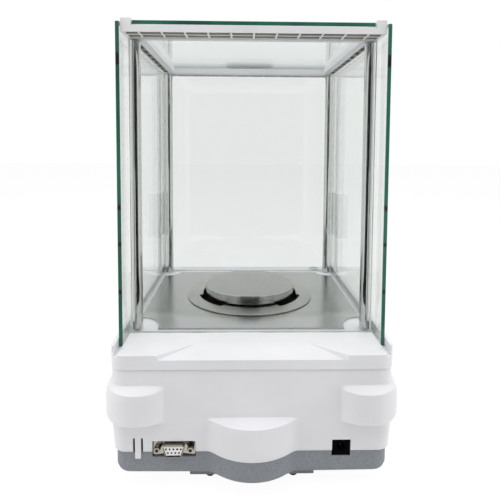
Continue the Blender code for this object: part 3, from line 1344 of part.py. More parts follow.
def make_serial_port():
    """Flange and D shell, the insulator with nine contacts, and two jackscrews."""
    face = BODY_REAR - PORT_FLANGE_SETBACK
    back = face - PORT_FLANGE_THICKNESS
    width = PORT_OPENING_HALF_WIDTH - GAP
    height = PORT_OPENING_HALF_HEIGHT - GAP
    shell = block("serial_shell", (PORT_X - width, back, PORT_Z - height),
                  (PORT_X + width, face, PORT_Z + height), bright_nickel())
    sleeve = long_prism("serial_sleeve", shell_outline(0.0), back, face + SHELL_PROUD, bright_nickel())
    boolean(shell, as_cutter(sleeve), "UNION")
    bore = long_prism("serial_bore", shell_outline(SHELL_WALL), back - CUT_OVERRUN,
                      face + SHELL_PROUD + CUT_OVERRUN, bright_nickel())
    boolean(shell, as_cutter(bore), "DIFFERENCE")
    tail = back - INSULATOR_TAIL
    front = face + SHELL_PROUD - INSULATOR_SETBACK
    core = long_prism("serial_insulator", shell_outline(SHELL_WALL + GAP), tail, front, white_insulator())
    for count, z in ((CONTACTS_TOP, PORT_Z + CONTACT_ROW / 2), (CONTACTS_BOTTOM, PORT_Z - CONTACT_ROW / 2)):
        for i in range(count):
            x = PORT_X + (i - (count - 1) / 2) * CONTACT_PITCH
            hole = rear_cylinder("contact_%d_%d" % (count, i), x, z, CONTACT_RADIUS, front - CONTACT_DEPTH,
                                 front + CUT_OVERRUN, black_plastic(), CONTACT_STEPS)
            boolean(core, as_cutter(hole), "DIFFERENCE")
    for side, word in ((-1, "right"), (1, "left")):
        x = PORT_X + side * JACK_SPACING / 2
        low = face + GAP
        jack = rear_cylinder("jackscrew_" + word, x, PORT_Z, JACK_RADIUS, low, low + JACK_HEIGHT,
                             bright_nickel(), HEX_STEPS)
        bore = rear_cylinder("jack_bore_" + word, x, PORT_Z, JACK_BORE, low + JACK_HEIGHT - JACK_BORE_DEPTH,
                             low + JACK_HEIGHT + CUT_OVERRUN, bright_nickel(), POST_STEPS)
        boolean(jack, as_cutter(bore), "DIFFERENCE")


def make_power_socket():
    """The low-voltage jack with its centre pin."""
    rear = BODY_REAR - POWER_SETBACK
    front = rear - POWER_LENGTH
    socket = block("power_socket", (POWER_X - POWER_HALF_WIDTH, front, PORT_Z - POWER_HALF_HEIGHT),
                   (POWER_X + POWER_HALF_WIDTH, rear, PORT_Z + POWER_HALF_HEIGHT), black_plastic())
    bore = rear_cylinder("power_bore", POWER_X, PORT_Z, POWER_BORE, rear - POWER_BORE_DEPTH,
                         rear + CUT_OVERRUN, black_plastic())
    boolean(socket, as_cutter(bore), "DIFFERENCE")
    low = rear - POWER_BORE_DEPTH + GAP
    rear_cylinder("power_pin", POWER_X, PORT_Z, POWER_PIN_RADIUS, low, rear - POWER_PIN_SETBACK,
                  bright_nickel(), CONTACT_STEPS)


def make_main_board():
    """The main board on its four posts, under both sockets."""
    block("main_board", (-BOARD_HALF_WIDTH, BOARD_FRONT, BOARD_BOTTOM),
          (BOARD_HALF_WIDTH, BOARD_REAR, BOARD_TOP), board_green())


# Weighing cell

def make_cell_plate():
    """The plate that the weighing cell stands on."""
    return block("cell_plate", (-CELL_PLATE_HALF_WIDTH, PAN_Y - CELL_PLATE_FRONT, CELL_PLATE_BOTTOM),
                 (CELL_PLATE_HALF_WIDTH, PAN_Y + CELL_PLATE_REAR, CELL_PLATE_BOTTOM + CELL_PLATE_THICKNESS),
                 cast_aluminium())


def make_cell_frame():
    """The one-piece cell: load column, fixed column and two links with thinned hinges."""
    frame = side_prism("cell_frame", rectangle(CELL_FRONT, LOAD_REAR, CELL_BOTTOM, CELL_TOP),
                       -CELL_HALF_WIDTH, CELL_HALF_WIDTH, cast_aluminium())
    window = blocks("cell_window", [((-CELL_HALF_WIDTH - CUT_OVERRUN, WINDOW_FRONT, CELL_BOTTOM + CELL_LINK),
                                     (CELL_HALF_WIDTH + CUT_OVERRUN, LOAD_FRONT, CELL_TOP - CELL_LINK))])
    boolean(frame, window, "DIFFERENCE")
    for index, y in enumerate((WINDOW_FRONT + FLEXURE_RADIUS, LOAD_FRONT - FLEXURE_RADIUS)):
        for level, z in (("low", CELL_BOTTOM + CELL_LINK), ("high", CELL_TOP - CELL_LINK)):
            outline = circle(FLEXURE_RADIUS, FLEXURE_STEPS, (y, z))
            notch = side_prism("flexure_%s_%d" % (level, index), outline, -CELL_HALF_WIDTH - CUT_OVERRUN,
                               CELL_HALF_WIDTH + CUT_OVERRUN, cast_aluminium())
            boolean(frame, as_cutter(notch), "DIFFERENCE")
    relief = blocks("load_relief", [((-CELL_HALF_WIDTH - CUT_OVERRUN, LOAD_FRONT - CUT_OVERRUN,
                                      CELL_BOTTOM - CUT_OVERRUN),
                                     (CELL_HALF_WIDTH + CUT_OVERRUN, LOAD_REAR + CUT_OVERRUN,
                                      CELL_BOTTOM + GAP))])
    boolean(frame, relief, "DIFFERENCE")
    room = LEVER_PASS_CLEARANCE
    passage = blocks("lever_passage", [((-LEVER_HALF_WIDTH - room, CELL_FRONT - CUT_OVERRUN, LEVER_BOTTOM - room),
                                        (LEVER_HALF_WIDTH + room, WINDOW_FRONT + CUT_OVERRUN,
                                         LEVER_BOTTOM + LEVER_HEIGHT + room))])
    boolean(frame, passage, "DIFFERENCE")
    return frame


def make_lever_beam():
    """The lever from the load column, out over the magnet."""
    return block("lever_beam", (-LEVER_HALF_WIDTH, POT_Y - LEVER_OVERRUN, LEVER_BOTTOM),
                 (LEVER_HALF_WIDTH, LOAD_FRONT - GAP, LEVER_BOTTOM + LEVER_HEIGHT), cast_aluminium())


def make_magnet_pot():
    """The round magnet with its ring-shaped gap."""
    low = CELL_BOTTOM
    top = low + POT_HEIGHT
    gap_low = top - POT_GAP_DEPTH
    profile = [(0, low), (POT_RADIUS, low), (POT_RADIUS, top), (POT_GAP_OUTER, top), (POT_GAP_OUTER, gap_low),
               (POT_GAP_INNER, gap_low), (POT_GAP_INNER, top), (0, top)]
    return turned("magnet_pot", profile, (0.0, POT_Y), black_steel(), POT_STEPS)


def make_force_coil():
    """The coil that hangs from the lever into the magnet's gap."""
    top = LEVER_BOTTOM - GAP
    low = top - COIL_HEIGHT
    profile = [(COIL_INNER, low), (COIL_OUTER, low), (COIL_OUTER, top), (COIL_INNER, top)]
    return turned("force_coil", profile, (0.0, POT_Y), copper_wire(), POT_STEPS)


def make_position_sensor():
    """The light gate round the lever, on the fixed column."""
    middle = LEVER_BOTTOM + LEVER_HEIGHT / 2
    gate = block("position_sensor", (-SENSOR_HALF_WIDTH, SENSOR_FRONT, middle - SENSOR_HALF_HEIGHT),
                 (SENSOR_HALF_WIDTH, SENSOR_REAR, middle + SENSOR_HALF_HEIGHT), black_plastic())
    room = LEVER_PASS_CLEARANCE
    slot = blocks("gate_slot", [((-LEVER_HALF_WIDTH - room, SENSOR_FRONT - CUT_OVERRUN, LEVER_BOTTOM - room),
                                 (LEVER_HALF_WIDTH + room, SENSOR_REAR + CUT_OVERRUN,
                                  LEVER_BOTTOM + LEVER_HEIGHT + room))])
    return boolean(gate, slot, "DIFFERENCE")


def main():
    """Build every piece."""
    clear_scene()
    make_base_tray()
    make_upper_housing()
    make_deck_cover()
    make_posts()
    make_rear_top_rail()
    make_front_top_rail()
    make_side_top_rails()
    make_fixed_panes()
    make_side_door(-1, "right")
    make_side_door(1, "left")
    make_top_door()
    make_floor_plate()
    make_pan_well()
    make_draft_ring()
    make_weighing_pan()
    make_pan_spindle()
    make_rear_feet()
    make_levelling_feet()
    make_control_panel()
    make_keys()
    make_display()
    make_level_vial()
    make_serial_port()
    make_power_socket()
    make_main_board()
    make_cell_plate()
    make_cell_frame()
    make_lever_beam()
    make_magnet_pot()
    make_force_coil()
    make_position_sensor()


main()
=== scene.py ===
"""Looks of the precision balance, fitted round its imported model.

Every length is in metres. X runs across the balance, the keys face -Y, the sockets
face +Y, and the table is at Z = 0.
"""

from __future__ import annotations

import json
import logging
from dataclasses import dataclass, field
from enum import Enum
from math import cos, pi, radians, sin
from typing import Any, Sequence

import bmesh
import bpy
import numpy as np
from mathutils import Matrix, Vector

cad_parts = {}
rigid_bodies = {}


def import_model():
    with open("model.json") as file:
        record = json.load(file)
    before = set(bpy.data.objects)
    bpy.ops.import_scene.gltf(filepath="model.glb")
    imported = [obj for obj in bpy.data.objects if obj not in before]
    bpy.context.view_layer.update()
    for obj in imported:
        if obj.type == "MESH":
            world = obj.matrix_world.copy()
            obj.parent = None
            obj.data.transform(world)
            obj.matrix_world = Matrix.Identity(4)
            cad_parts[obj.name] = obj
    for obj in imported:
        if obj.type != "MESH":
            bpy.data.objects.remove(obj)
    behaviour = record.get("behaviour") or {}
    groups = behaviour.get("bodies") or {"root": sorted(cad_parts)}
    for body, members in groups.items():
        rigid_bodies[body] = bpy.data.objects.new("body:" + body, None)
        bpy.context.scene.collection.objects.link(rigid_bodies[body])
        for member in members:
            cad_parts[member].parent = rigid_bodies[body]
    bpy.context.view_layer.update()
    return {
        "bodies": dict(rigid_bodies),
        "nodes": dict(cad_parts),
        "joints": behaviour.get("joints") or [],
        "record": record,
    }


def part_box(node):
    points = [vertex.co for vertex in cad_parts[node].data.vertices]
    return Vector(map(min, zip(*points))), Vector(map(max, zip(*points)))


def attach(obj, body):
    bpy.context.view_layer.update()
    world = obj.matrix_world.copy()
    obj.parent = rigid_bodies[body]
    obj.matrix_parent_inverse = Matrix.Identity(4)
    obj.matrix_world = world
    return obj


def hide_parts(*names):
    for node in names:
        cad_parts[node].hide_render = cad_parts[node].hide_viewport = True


LOG = logging.getLogger("balance")
MM = 0.001
Colour = tuple[float, float, float]
Point = tuple[float, float, float]


class Axis(Enum):
    """A direction of the balance, as its place in a coordinate."""

    ACROSS = 0
    ALONG = 1
    UP = 2


class Side(Enum):
    """The two hands of the balance, seen from its keys."""

    RIGHT = -1
    LEFT = 1

    @property
    def word(self) -> str:
        """The side's name in lower case."""
        return self.name.lower()


# Shader arithmetic


class Wire:
    """One socket of a node tree. Sums and products on it add Math nodes."""

    def __init__(self, tree: Tree, socket: bpy.types.NodeSocket) -> None:
        """Keep the tree and the socket."""
        self.tree = tree
        self.socket = socket

    def _math(self, operation: str, *terms: Wire | float) -> Wire:
        """One Math node over the given terms."""
        made = self.tree.node("Math", {"operation": operation}, dict(enumerate(terms)))
        return Wire(self.tree, made.outputs[0])

    def __add__(self, other: Wire | float) -> Wire:
        """Sum."""
        return self._math("ADD", self, other)

    def __radd__(self, other: Wire | float) -> Wire:
        """Sum, from the right."""
        return self._math("ADD", other, self)

    def __sub__(self, other: Wire | float) -> Wire:
        """Difference."""
        return self._math("SUBTRACT", self, other)

    def __rsub__(self, other: Wire | float) -> Wire:
        """Difference, from the right."""
        return self._math("SUBTRACT", other, self)

    def __mul__(self, other: Wire | float) -> Wire:
        """Product."""
        return self._math("MULTIPLY", self, other)

    def __rmul__(self, other: Wire | float) -> Wire:
        """Product, from the right."""
        return self._math("MULTIPLY", other, self)

    def __pow__(self, other: float) -> Wire:
        """Power."""
        return self._math("POWER", self, other)

    def largest(self, other: Wire | float) -> Wire:
        """The larger of two values."""
        return self._math("MAXIMUM", self, other)

    def smallest(self, other: Wire | float) -> Wire:
        """The smaller of two values."""
        return self._math("MINIMUM", self, other)

    def root(self) -> Wire:
        """Square root."""
        return self._math("SQRT", self)

    def wave(self) -> Wire:
        """Sine."""
        return self._math("SINE", self)

    def size(self) -> Wire:
        """Value without its sign."""
        return self._math("ABSOLUTE", self)

    def rise(self, low: float, high: float) -> Wire:
        """A smooth step from 0 at `low` to 1 at `high`."""
        made = self.tree.node(
            "MapRange",
            {"interpolation_type": "SMOOTHSTEP"},
            {"Value": self, "From Min": low, "From Max": high},
        )
        return Wire(self.tree, made.outputs[0])


class Tree:
    """A node tree being drawn, with every node made by one method."""

    def __init__(self, owner: bpy.types.Material | bpy.types.World) -> None:
        """Empty the owner's tree.

        Args:
            owner: The material or world whose nodes are drawn.
        """
        owner.use_nodes = True
        self.tree = owner.node_tree
        self.tree.nodes.clear()

    def node(
        self,
        kind: str,
        settings: dict[str, Any] | None = None,
        inputs: dict[str | int, Any] | None = None,
    ) -> bpy.types.Node:
        """Add a node.

        Args:
            kind: Node type without its ShaderNode prefix.
            settings: The node's own settings, set first.
            inputs: Values or wires for its sockets.

        Returns:
            The node.
        """
        made = self.tree.nodes.new("ShaderNode" + kind)
        for key, value in (settings or {}).items():
            setattr(made, key, value)
        for key, value in (inputs or {}).items():
            if isinstance(value, Wire):
                self.tree.links.new(value.socket, made.inputs[key])
            else:
                made.inputs[key].default_value = value
        return made

    def out(self, made: bpy.types.Node, key: str | int = 0) -> Wire:
        """One output of a node as a wire."""
        return Wire(self, made.outputs[key])

    def place(self) -> Wire:
        """Object coordinates, which are the balance's own metres."""
        return self.out(self.node("TexCoord"), "Object")

    def parts(self, vector: Wire) -> tuple[Wire, Wire, Wire]:
        """The three numbers of a vector."""
        made = self.node("SeparateXYZ", inputs={0: vector})
        return self.out(made, 0), self.out(made, 1), self.out(made, 2)

    def from_centre(self, vector: Wire, centre: tuple[float, float]) -> tuple[Wire, Wire, Wire]:
        """Offsets from a centre across and along, and the root of the sum of their squares."""
        across, along = self.parts(vector)[:2]
        off_x, off_y = across - centre[0], along - centre[1]
        return off_x, off_y, (off_x * off_x + off_y * off_y).root()

    def stretched(self, vector: Wire, factors: Point) -> Wire:
        """A vector multiplied part by part."""
        made = self.node("VectorMath", {"operation": "MULTIPLY"}, {0: vector, 1: factors})
        return self.out(made)

    def noise(self, vector: Wire, scale: float, detail: float = 2.0) -> Wire:
        """Cloudy noise round one half."""
        made = self.node("TexNoise", inputs={"Vector": vector, "Scale": scale, "Detail": detail})
        return self.out(made)

    def mix(self, factor: Wire | float, first: Any, second: Any) -> Wire:
        """A colour between two colours."""
        pair = [c if isinstance(c, Wire) else (*c, 1.0) for c in (first, second)]
        made = self.node("Mix", {"data_type": "RGBA"}, {0: factor, 6: pair[0], 7: pair[1]})
        return self.out(made, 2)

    def bump(self, height: Wire, strength: float, distance: float) -> Wire:
        """A normal raised by a height."""
        values = {"Height": height, "Strength": strength, "Distance": distance}
        return self.out(self.node("Bump", inputs=values))

    def principled(self, **inputs: Any) -> Wire:
        """A Principled shader, its sockets named with _ for a space."""
        named = {key.replace("_", " "): value for key, value in inputs.items()}
        if not isinstance(named["Base Color"], Wire):
            named["Base Color"] = (*named["Base Color"], 1.0)
        return self.out(self.node("BsdfPrincipled", inputs=named))

    def see_through(self, share: Wire, clear: Colour, solid: Wire) -> Wire:
        """A clear shader and a solid one, mixed by the solid one's share."""
        through = self.out(self.node("BsdfTransparent", inputs={"Color": (*clear, 1.0)}))
        return self.out(self.node("MixShader", inputs={0: share, 1: through, 2: solid}))

    def end(self, shader: Wire, kind: str = "OutputMaterial") -> None:
        """Join a shader to the output."""
        self.node(kind, inputs={"Surface": shader})


def shade(colour: Colour, factor: float) -> Colour:
    """A colour made lighter or darker.

    Args:
        colour: Red, green and blue.
        factor: What each is multiplied by.

    Returns:
        The new colour.
    """
    return tuple(min(1.0, part * factor) for part in colour)


# Finishes


@dataclass(frozen=True)
class Finish:
    """A finish, and the record's material slot that it answers to."""

    name: str
    slot: str
    colour: Colour
    roughness: float

    def material(self) -> bpy.types.Material:
        """The material, made at its first use."""
        found = bpy.data.materials.get(self.name)
        if found is None:
            found = bpy.data.materials.new(self.name)
            tree = Tree(found)
            tree.end(self.draw(tree))
        return found

    def draw(self, tree: Tree) -> Wire:
        """Draw the finish. Each kind of finish says in words what drives what.

        Args:
            tree: The material's empty tree.

        Returns:
            The shader.
        """
        raise NotImplementedError


@dataclass(frozen=True)
class Moulding(Finish):
    """Moulded plastic: a spark-eroded grain, soft flow clouds and fine speckles."""

    grain: float = 0.0004
    grain_height: float = 0.00002
    grain_spread: float = 0.12
    cloud: float = 0.03
    cloud_scale: float = 22.0
    cloud_spread: float = 0.1
    speckle: float = 0.0
    speck_scales: tuple[float, float] = (1400.0, 620.0)
    speck_shades: tuple[float, float] = (1.75, 0.55)
    specular: float = 0.5
    # Painted shade of a hollow: from the mouth height the colour falls from twice its value to itself over
    # mouth_fade.
    mouth: float | None = None
    mouth_fade: float = 0.0011

    def draw(self, tree: Tree) -> Wire:
        """Grain drives bump and roughness, clouds and speckles drive colour, and painted shade deepens upward
        from a mouth.
        """
        place = tree.place()
        clouds = tree.noise(place, self.cloud_scale, 3.0)
        grain = tree.noise(place, 1.0 / self.grain)
        colour = tree.mix(clouds.rise(0.3, 0.7), shade(self.colour, 1 - self.cloud),
                          shade(self.colour, 1 + self.cloud))
        if self.speckle:
            specks = tree.noise(place, self.speck_scales[0], 3.0).rise(0.42, 0.62)
            dark = tree.noise(place, self.speck_scales[1]).rise(0.56, 0.7)
            for spots, tone in zip((specks, dark), self.speck_shades):
                colour = tree.mix(spots * self.speckle, colour, shade(self.colour, tone))
        # Painted shade: lighter at the mouth, darker higher inside the hollow.
        if self.mouth:
            inward = tree.parts(place)[2].rise(self.mouth, self.mouth + self.mouth_fade)
            colour = tree.mix(inward, shade(self.colour, 2.0), colour)
        rough = self.roughness + self.cloud_spread * (clouds - 0.5) + self.grain_spread * (grain - 0.5)
        return tree.principled(
            Base_Color=colour, Roughness=rough, Specular_IOR_Level=self.specular,
            Normal=tree.bump(grain, 0.35, self.grain_height),
        )


@dataclass(frozen=True)
class BrushedMetal(Finish):
    """Rolled, drawn or turned metal, with fine lines that follow its working."""

    lines: Point = (40.0, 2600.0, 2600.0)
    depth: float = 0.000006
    spread: float = 0.12
    centre: tuple[float, float] | None = None
    rings: tuple[float, float] = (2600.0, 14.0)
    smoothest: float = 0.03

    def draw(self, tree: Tree) -> Wire:
        """Stretched noise gives the lines; round a centre it follows the radius."""
        place = tree.place()
        if self.centre:
            away_x, away_y, radius = tree.from_centre(place, self.centre)
            fine, long = self.rings
            parts = {0: radius * fine, 1: away_x * long, 2: away_y * long}
            lines = tree.noise(tree.out(tree.node("CombineXYZ", inputs=parts)), 1.0, 3.0)
        else:
            lines = tree.noise(tree.stretched(place, self.lines), 1.0, 3.0)
        clouds = tree.noise(place, 35.0, 3.0)
        colour = tree.mix(lines, shade(self.colour, 0.93), shade(self.colour, 1.06))
        colour = tree.mix(clouds.rise(0.35, 0.75) * 0.35, colour, shade(self.colour, 0.9))
        rough = (self.roughness + self.spread * (lines - 0.5) + 0.08 * (clouds - 0.5)).largest(self.smoothest)
        bumped = {"Normal": tree.bump(lines, 0.4, self.depth)} if self.depth else {}
        return tree.principled(Base_Color=colour, Metallic=1.0, Roughness=rough, **bumped)


@dataclass(frozen=True)
class PaneFace(Finish):
    """The clear face of a pane: it lets light through and mirrors at a low angle."""

    passed: float = 0.9
    straight_on: float = 0.04
    mirrored: Colour = (0.95, 0.97, 0.96)

    def draw(self, tree: Tree) -> Wire:
        """The facing angle's fifth power shares mirror against clear, and lamps' light passes."""
        place = tree.place()
        film = tree.noise(place, 14.0, 4.0)
        facing = tree.out(tree.node("LayerWeight", inputs={"Blend": 0.5}), "Facing")
        lit = tree.out(tree.node("LightPath"), "Is Shadow Ray")
        share = (self.straight_on + (1.0 - self.straight_on) * facing ** 5.0) * (1.0 - lit * self.passed)
        mirror = tree.principled(
            Base_Color=self.mirrored, Metallic=1.0,
            Roughness=self.roughness + 0.03 * film.rise(0.45, 0.8),
        )
        return tree.see_through(share, self.colour, mirror)


@dataclass(frozen=True)
class PaneEdge(Finish):
    """The ground edge of a pane, where the glass is seen along its width."""

    # Tone of the painted reflections of the fixtures, and the heights of their dark bands across the edge.
    deep: Colour = (0.0005, 0.006, 0.004)
    marks: Sequence[tuple[float, float]] = ((0.3200, 0.3290), (0.2107, 0.2145), (0.1828, 0.1855),
                                            (0.1458, 0.1485))
    fade: float = 0.0006

    def draw(self, tree: Tree) -> Wire:
        """Long clouds of green, dark bands at set heights that are painted reflections of the fixtures round
        the panes, and a fine ground grain.
        """
        place = tree.place()
        up = tree.parts(place)[2]
        bands = tree.noise(tree.stretched(place, (30.0, 9.0, 9.0)), 1.0, 3.0).rise(0.38, 0.62)
        grain = tree.noise(place, 2200.0, 2.0)
        colour = tree.mix(bands, self.colour, shade(self.colour, 1.8))
        # Painted reflection: a dark band at each listed height.
        for low, high in self.marks:
            entered, left = [up.rise(end - self.fade, end + self.fade) for end in (low, high)]
            colour = tree.mix(entered * (1.0 - left), colour, self.deep)
        return tree.principled(
            Base_Color=colour, Roughness=self.roughness + 0.15 * (grain - 0.5),
            Coat_Weight=0.15, Coat_Roughness=0.1, Normal=tree.bump(grain, 0.3, 0.00001),
        )


@dataclass(frozen=True)
class ClearPlastic(Finish):
    """Clear moulded plastic: mostly see-through, a little milky, with flow lines."""

    milk: float = 0.14
    through: Colour = (0.985, 0.99, 0.99)

    def draw(self, tree: Tree) -> Wire:
        """The facing angle's cube plus a milky share mixes a glossy pale plastic against clear."""
        place = tree.place()
        flow = tree.noise(tree.stretched(place, (500.0, 500.0, 12.0)), 1.0, 3.0)
        facing = tree.out(tree.node("LayerWeight", inputs={"Blend": 0.5}), "Facing")
        share = (self.milk + 0.5 * facing ** 3.0 + 0.16 * (flow - 0.5)).smallest(1.0)
        solid = tree.principled(
            Base_Color=tree.mix(flow, shade(self.colour, 0.96), self.colour),
            Roughness=self.roughness + 0.08 * (flow - 0.5),
        )
        return tree.see_through(share, self.through, solid)


@dataclass(frozen=True)
class Rubber(Finish):
    """Dull rubber with a mould skin and a little dust."""

    dust: Colour = (0.09, 0.09, 0.088)

    def draw(self, tree: Tree) -> Wire:
        """Dust lightens the colour in clouds, and the skin is a fine bump."""
        place = tree.place()
        dust = tree.noise(place, 160.0, 4.0).rise(0.5, 0.8)
        skin = tree.noise(place, 1600.0, 2.0)
        return tree.principled(
            Base_Color=tree.mix(dust * 0.35, self.colour, self.dust),
            Roughness=self.roughness + 0.15 * (skin - 0.5), Normal=tree.bump(skin, 0.5, 0.00003),
        )


@dataclass(frozen=True)
class Lens(Finish):
    """A smooth smoked window with faint wiping marks."""

    def draw(self, tree: Tree) -> Wire:
        """Wiping marks are long soft streaks in the roughness."""
        place = tree.place()
        wiped = tree.noise(tree.stretched(place, (60.0, 600.0, 600.0)), 1.0, 3.0)
        smears = tree.noise(place, 45.0, 3.0).rise(0.45, 0.75)
        return tree.principled(
            Base_Color=tree.mix(smears * 0.5, self.colour, shade(self.colour, 1.4)),
            Roughness=self.roughness + 0.05 * wiped + 0.07 * smears,
            Coat_Weight=0.6, Coat_Roughness=0.03,
        )


@dataclass(frozen=True)
class BoardCoat(Finish):
    """A coated circuit board: lighter tracks under the coat, and plated holes."""

    copper: Colour = (0.05, 0.30, 0.12)
    plated: Colour = (0.55, 0.5, 0.35)
    track_waves: float = 1900.0
    hole_scale: float = 260.0

    def draw(self, tree: Tree) -> Wire:
        """Tracks are thin bands of two crossed waves, holes are small cells."""
        place = tree.place()
        across, along = tree.parts(place)[:2]
        bend = tree.noise(place, 90.0, 1.0) * 9.0
        track, other = [
            (way * self.track_waves + bend).wave().rise(0.55, 0.8)
            * tree.noise(place, scale, 1.0).rise(low, low + 0.05)
            for way, scale, low in ((across, 60.0, 0.45), (along, 75.0, 0.5))
        ]
        tracks = track.largest(other)
        cells = tree.node("TexVoronoi", inputs={"Vector": place, "Scale": self.hole_scale})
        holes = 1.0 - tree.out(cells, "Distance").rise(0.10, 0.16)
        colour = tree.mix(tracks, self.colour, self.copper)
        colour = tree.mix(holes, colour, self.plated)
        return tree.principled(
            Base_Color=colour, Roughness=self.roughness - 0.12 * tracks,
            Coat_Weight=0.3, Coat_Roughness=0.2, Normal=tree.bump(tracks, 0.4, 0.00004),
        )


@dataclass(frozen=True)
class DisplayGlass(Finish):
    """An unlit display: a grey-green field of fine cells."""

    cell_waves: float = 7000.0

    def draw(self, tree: Tree) -> Wire:
        """The field darkens in fine rows, as its cells do."""
        place = tree.place()
        across, along = tree.parts(place)[:2]
        rows = (across * self.cell_waves).wave() * (along * self.cell_waves).wave()
        clouds = tree.noise(place, 30.0, 3.0)
        return tree.principled(
            Base_Color=tree.mix(rows.rise(-0.2, 0.6) * 0.4, self.colour, shade(self.colour, 0.85)),
            Roughness=self.roughness + 0.08 * (clouds - 0.5), Coat_Weight=0.5, Coat_Roughness=0.05,
        )


@dataclass(frozen=True)
class VialFill(Finish):
    """Green liquid with a reference circle and a resting bubble."""

    centre: tuple[float, float] = (0.0, 0.0)
    bubble: float = 0.0013
    bubble_off: tuple[float, float] = (0.0002, -0.00015)
    bubble_tone: Colour = (0.85, 0.95, 0.7)
    circle: float = 0.0021
    circle_tone: Colour = (0.02, 0.03, 0.02)

    def draw(self, tree: Tree) -> Wire:
        """Distances from the middle draw the circle and the bubble."""
        place = tree.place()
        away = tree.from_centre(place, self.centre)[2]
        line = 1.0 - (away - self.circle).size().rise(0.00008, 0.00018)
        bubble_at = (self.centre[0] + self.bubble_off[0], self.centre[1] + self.bubble_off[1])
        inside = tree.from_centre(place, bubble_at)[2]
        pale = 1.0 - inside.rise(self.bubble * 0.82, self.bubble)
        swirl = tree.noise(place, 300.0)
        colour = tree.mix(swirl * 0.3, self.colour, shade(self.colour, 0.8))
        colour = tree.mix(pale * 0.75, colour, self.bubble_tone)
        colour = tree.mix(line, colour, self.circle_tone)
        return tree.principled(
            Base_Color=colour, Roughness=self.roughness + 0.04 * swirl,
            Coat_Weight=1.0, Coat_Roughness=0.02,
        )


@dataclass(frozen=True)
class Winding(Finish):
    """Lacquered copper wire laid in close turns."""

    pitch: float = 0.0005

    def draw(self, tree: Tree) -> Wire:
        """Each turn is a wave up the coil; the troughs between turns are painted shade in the grooves."""
        place = tree.place()
        turns = (tree.parts(place)[2] * (2 * pi / self.pitch)).wave()
        clouds = tree.noise(place, 300.0)
        return tree.principled(
            # Painted shade: darker troughs between the turns.
            Base_Color=tree.mix(turns.rise(-1.0, 0.6), shade(self.colour, 0.45), self.colour),
            Metallic=0.8, Roughness=self.roughness + 0.15 * (clouds - 0.5), Coat_Weight=0.5,
        )


